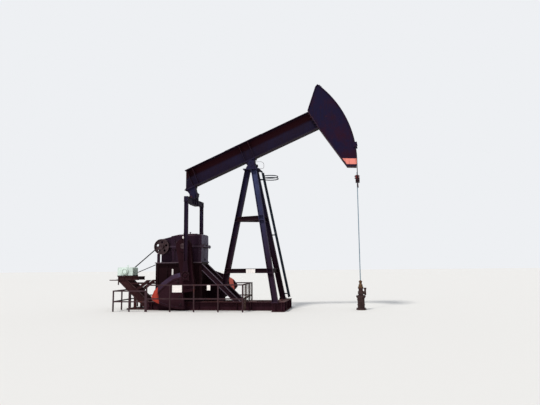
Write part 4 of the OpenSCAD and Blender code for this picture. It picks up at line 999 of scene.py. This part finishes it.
ropeSettings = {
    "thickness": 0.032,
    "strands": 6,
    "perStrand": 4,                  # points round one strand
    "valley": 0.8,                   # how far the section goes in between two strands
    "lay": 0.20,                     # length in which a strand goes once round
    "step": 0.02,
    "between": 0.24,                 # from one rope to the other
    "anchorTurn": math.radians(23.9),
    "loose": math.radians(6),        # a stretch of the head's turn
    "lowEnd": 5.19,
    "tangent": 6.315,
    "near": 1e-4,                    # how close to an end a point lies on it
}


def makeRope(settings, length):
    # stands on its own Z, from 0 up
    perStrand = settings["perStrand"]
    rope = added(bpy.ops.mesh.primitive_circle_add, vertices=settings["strands"] * perStrand,
                 radius=settings["thickness"] / 2)
    pick(rope, "VERT", lambda point: point.index % perStrand == 0)
    bpy.ops.transform.resize(value=(settings["valley"], settings["valley"], 1))
    backToObject()
    wind = rope.modifiers.new("wind", "SCREW")
    wind.angle = 2 * math.pi * length / settings["lay"]
    wind.screw_offset = length
    wind.steps = wind.render_steps = round(length / settings["step"])
    bpy.ops.object.modifier_apply(modifier="wind")
    for height in (0, length):
        def atEnd(edge):
            return all(abs(rope.data.vertices[i].co.z - height) < settings["near"] for i in edge.vertices)

        pick(rope, "EDGE", atEnd)
        bpy.ops.mesh.edge_face_add()
        backToObject()
    outward(rope)
    return rope


def makeRopes(settings):
    radius = linkage["headRadius"] + settings["thickness"] / 2
    topTurn = linkage["beamTilt"] + settings["anchorTurn"]
    wraps, drops = [], []
    for side in (-0.5, 0.5):
        y = side * settings["between"]
        wrap = makeRope(settings, radius * topTurn)
        bend = wrap.modifiers.new("bend", "SIMPLE_DEFORM")
        bend.deform_method = "BEND"
        bend.deform_axis = "Y"
        bend.angle = -topTurn
        bpy.ops.object.modifier_apply(modifier="bend")
        wrap.location = (radius, y, centreBearing.z)
        wraps.append(wrap)
        drop = makeRope(settings, settings["tangent"] - settings["lowEnd"])
        drop.location = (radius, y, settings["lowEnd"])
        drops.append(drop)
    wrap = finished(joined(wraps, "ropeWrap"), "rope", smooth=50)
    drop = finished(joined(drops, "ropeDrop"), "rope", smooth=50)
    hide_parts("bridle_wrap")
    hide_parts("bridle_drop")
    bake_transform(wrap)
    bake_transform(drop)


makeRopes(ropeSettings)

socketSettings = {
    "sides": 28,
    "low": 5.15,
    "collar": 5.21,
    "top": 5.37,
    "wide": 0.035,
    "narrow": 0.026,
    "rim": 0.006,
    "roll": 0.012,
}


def makeSockets(settings):
    # the swaged ends of the ropes under the carrier bar, each with a rolled collar
    low, collar, rim, roll = [settings[key] for key in ("low", "collar", "rim", "roll")]
    x = linkage["headRadius"] + ropeSettings["thickness"] / 2
    sockets = []
    for side in (-0.5, 0.5):
        socket = added(bpy.ops.mesh.primitive_cylinder_add, vertices=settings["sides"],
                       radius=settings["wide"], end_fill_type="NGON", depth=collar - low,
                       location=(x, side * ropeSettings["between"], (low + collar) / 2))
        pick(socket, "FACE", looksUp)
        bpy.ops.mesh.inset(thickness=rim)
        bpy.ops.mesh.extrude_region_move(TRANSFORM_OT_translate={"value": (0, 0, roll)})
        neck = settings["top"] - collar - roll
        bpy.ops.mesh.extrude_region_move(TRANSFORM_OT_translate={"value": (0, 0, neck)})
        narrow = settings["narrow"] / (settings["wide"] - rim)
        bpy.ops.transform.resize(value=(narrow, narrow, 1))
        backToObject()
        pick(socket, "FACE", looksDown)
        bpy.ops.mesh.bevel(offset=rim, segments=2)
        backToObject()
        sockets.append(socket)
    finished(joined(sockets, "ropeSockets"), "bolt", "rod")


makeSockets(socketSettings)
print("ropes wound and socketed")


# woven wire in the front side of the fence

meshSettings = {
    "wire": 0.0019,
    "wireSides": 6,
    "wireEnd": 0.0008,
    "step": 0.06,
    "near": (-0.155, -1.42),         # the corners that it runs between, as X and Y
    "far": (-0.355, 1.42),
    "out": 0.027,
    "top": 1.09,
    "low": 0.08,
    "overSkid": 0.40,
    "skidHalf": 0.68,
}


def makeWire(settings):
    # one metre long, to be stretched
    wire = added(bpy.ops.mesh.primitive_cylinder_add, vertices=settings["wireSides"], radius=settings["wire"],
                 depth=1.0, location=(0, 0, 0.5))
    pick(wire, "FACE", lambda face: looksUp(face) or looksDown(face))
    bpy.ops.mesh.bevel(offset=settings["wireEnd"], segments=1)
    backToObject()
    return wire


def makeFenceMesh(settings):
    master = makeWire(settings)
    near, far = Vector((*settings["near"], 0)), Vector((*settings["far"], 0))
    run = far - near
    out = Vector((run.y, -run.x, 0)).normalized() * settings["out"]
    wires = []

    def stretch(start, end):
        way = end - start
        turn = way.to_track_quat("Z", "X").to_matrix().to_4x4()
        grow = Matrix.Diagonal((1, 1, way.length, 1))
        wires.append(copied(master, Matrix.Translation(start + out) @ turn @ grow))

    top, low, skidTop = settings["top"], settings["low"], settings["overSkid"]
    count = round(run.length / settings["step"])
    for i in range(count + 1):
        foot = near + run * i / count
        start = skidTop if abs(foot.y) < settings["skidHalf"] else low
        stretch(foot + Vector((0, 0, start)), foot + Vector((0, 0, top)))
    lineCount = round((top - low) / settings["step"])
    edge = (settings["skidHalf"] - settings["near"][1]) / (settings["far"][1] - settings["near"][1])
    for i in range(lineCount + 1):
        z = low + (top - low) * i / lineCount
        lift = Vector((0, 0, z))
        if z < skidTop:
            stretch(near + lift, near + run * (1 - edge) + lift)
            stretch(near + run * edge + lift, far + lift)
        else:
            stretch(near + lift, far + lift)
    finished(joined(wires, "fenceMesh"), "wire", "base")
    discard(master)


makeFenceMesh(meshSettings)
print("fence wired")


# bare plates on the gearbox and the pedestal, and the grease tube of the centre bearing

tagSettings = {
    "thick": 0.004,
    "corner": 0.008,
    "rim": 0.006,
    "sunk": 0.0008,
}

tags = {
    "gearboxTag": {"middle": (-3.01, -0.5235, 3.09), "width": 0.08, "height": 0.18},
    "pedestalTag": {"middle": (-3.50, -0.4585, 1.62), "width": 0.07, "height": 0.28},
}


def makeTag(name, tagPlace, settings):
    tag = added(bpy.ops.mesh.primitive_cube_add, size=1, location=tagPlace["middle"],
                scale=(tagPlace["width"], settings["thick"], tagPlace["height"]))

    def runsThrough(edge):
        start, end = [tag.data.vertices[i].co.y for i in edge.vertices]
        return abs(start - end) > settings["thick"] / 2

    pick(tag, "EDGE", runsThrough)
    bpy.ops.mesh.bevel(offset=settings["corner"], segments=3)
    backToObject()
    pick(tag, "FACE", lambda face: face.normal.y < -squarely)
    bpy.ops.mesh.inset(thickness=settings["rim"])
    bpy.ops.transform.translate(value=(0, settings["sunk"], 0))
    backToObject()
    tag.name = tag.data.name = name
    finished(tag, "plate", "base")


for name, tagPlace in tags.items():
    makeTag(name, tagPlace, tagSettings)

tubeSettings = {
    "radius": 0.007,
    "sides": 12,
    "bendSteps": 8,
    "merge": 0.0002,
    "start": (0.11, -0.30, 6.40),    # in the housing of the centre bearing
    "out": 0.29,
    "wide": 0.16,                    # radius of the upper bend, then of the lower one
    "narrow": 0.08,
    "drop": 0.075,
    "back": 0.125,
}


def makeTube(settings):
    # drawn as a bent pipe, straight runs by extrusion and bends by spin
    tube = added(bpy.ops.mesh.primitive_circle_add, vertices=settings["sides"], radius=settings["radius"],
                 fill_type="NGON", location=settings["start"], rotation=(0, math.radians(90), 0))
    bpy.ops.object.mode_set(mode="EDIT")
    bpy.ops.mesh.select_all(action="SELECT")
    end = Vector(settings["start"])

    def straight(way):
        nonlocal end
        bpy.ops.mesh.extrude_region_move(TRANSFORM_OT_translate={"value": way})
        end = end + Vector(way)

    def bend(centre, turn):
        nonlocal end
        bpy.ops.mesh.spin(steps=settings["bendSteps"], angle=-turn, center=centre, axis=(0, 1, 0))
        middle = Vector(centre)
        end = middle + Matrix.Rotation(turn, 3, "Y") @ (end - middle)

    straight((settings["out"], 0, 0))
    bend(end - Vector((0, 0, settings["wide"])), math.radians(90))
    straight((0, 0, -settings["drop"]))
    bend(end - Vector((settings["narrow"], 0, 0)), math.radians(90))
    straight((-settings["back"], 0, 0))
    bpy.ops.mesh.select_all(action="SELECT")
    bpy.ops.mesh.remove_doubles(threshold=settings["merge"])
    backToObject()
    outward(tube)
    tube.name = tube.data.name = "greaseTube"
    print("grease tube ends at", [round(v, 3) for v in end])
    finished(tube, "bolt", "base", 50)


makeTube(tubeSettings)
print("tags and grease tube placed")


# floor, light and camera

stageSettings = {
    "floorSize": 600.0,
    "floorColour": (224, 219, 211),
    "floorRoughness": 0.9,
    "floorSheen": 0.1,
    "backdrop": (238, 240, 243),
    "sky": (0.55, 0.6, 0.68),
    "sunTurn": math.radians(-28),    # seen from above, from straight behind the camera
    "sunHeight": math.radians(56),
    "sunStrength": 2.3,
    "sunAngle": math.radians(9),
}

cameraSettings = {
    "place": (4.33, -21.63, 1.783),
    "turn": math.radians(9.356),     # to the left of +Y
    "climb": math.radians(7.363),
    "roll": math.radians(-0.556),
    "focalPixels": 502.93,
    "imageWidth": 540,
    "sensorWidth": 36.0,
    "farthest": 2000.0,
}


def makeStage(settings):
    bpy.ops.object.select_all(action="DESELECT")
    bpy.ops.mesh.primitive_plane_add(size=settings["floorSize"], location=(0, 0, 0))
    floor = bpy.context.object
    floor.name = "floor"
    material = bpy.data.materials.new("floorFinish")
    material.use_nodes = True
    tree = material.node_tree
    surface = tree.nodes["Principled BSDF"]
    surface.inputs["Base Color"].default_value = tint(*settings["floorColour"])
    surface.inputs["Roughness"].default_value = settings["floorRoughness"]
    surface.inputs["Specular IOR Level"].default_value = settings["floorSheen"]
    floor.data.materials.append(material)

    world = bpy.data.worlds.new("studio")
    bpy.context.scene.world = world
    world.use_nodes = True
    tree = world.node_tree
    tree.nodes.clear()
    output = tree.nodes.new("ShaderNodeOutputWorld")
    soft = shaderNode(tree, "ShaderNodeBackground", Color=(*settings["sky"], 1.0), Strength=1.0)
    seen = shaderNode(tree, "ShaderNodeBackground", Color=tint(*settings["backdrop"]), Strength=1.0)
    rays = shaderNode(tree, "ShaderNodeLightPath")
    direct = maths(tree, "MAXIMUM", rays.outputs["Is Camera Ray"],
                   maths(tree, "MAXIMUM", rays.outputs["Is Glossy Ray"], rays.outputs["Is Transmission Ray"]))
    shown = shaderNode(tree, "ShaderNodeMixShader", i0=direct, i1=soft.outputs[0], i2=seen.outputs[0])
    tree.links.new(shown.outputs[0], output.inputs["Surface"])

    sun = bpy.data.lights.new("sun", "SUN")
    sun.energy = settings["sunStrength"]
    sun.angle = settings["sunAngle"]
    lamp = bpy.data.objects.new("sun", sun)
    bpy.context.collection.objects.link(lamp)
    lamp.rotation_euler = Euler((math.radians(90) - settings["sunHeight"], 0, settings["sunTurn"]))


def makeCamera(settings):
    data = bpy.data.cameras.new("camera")
    data.sensor_width = settings["sensorWidth"]
    data.lens = settings["focalPixels"] / settings["imageWidth"] * data.sensor_width
    data.clip_end = settings["farthest"]
    camera = bpy.data.objects.new("camera", data)
    bpy.context.collection.objects.link(camera)
    aim = Euler((math.radians(90) + settings["climb"], 0, settings["turn"])).to_matrix()
    aim = aim @ Matrix.Rotation(settings["roll"], 3, "Z")
    camera.matrix_world = Matrix.Translation(settings["place"]) @ aim.to_4x4()
    bpy.context.scene.camera = camera


makeStage(stageSettings)
makeCamera(cameraSettings)
bpy.context.scene.view_settings.view_transform = "Standard"
print("stage, light and camera placed")
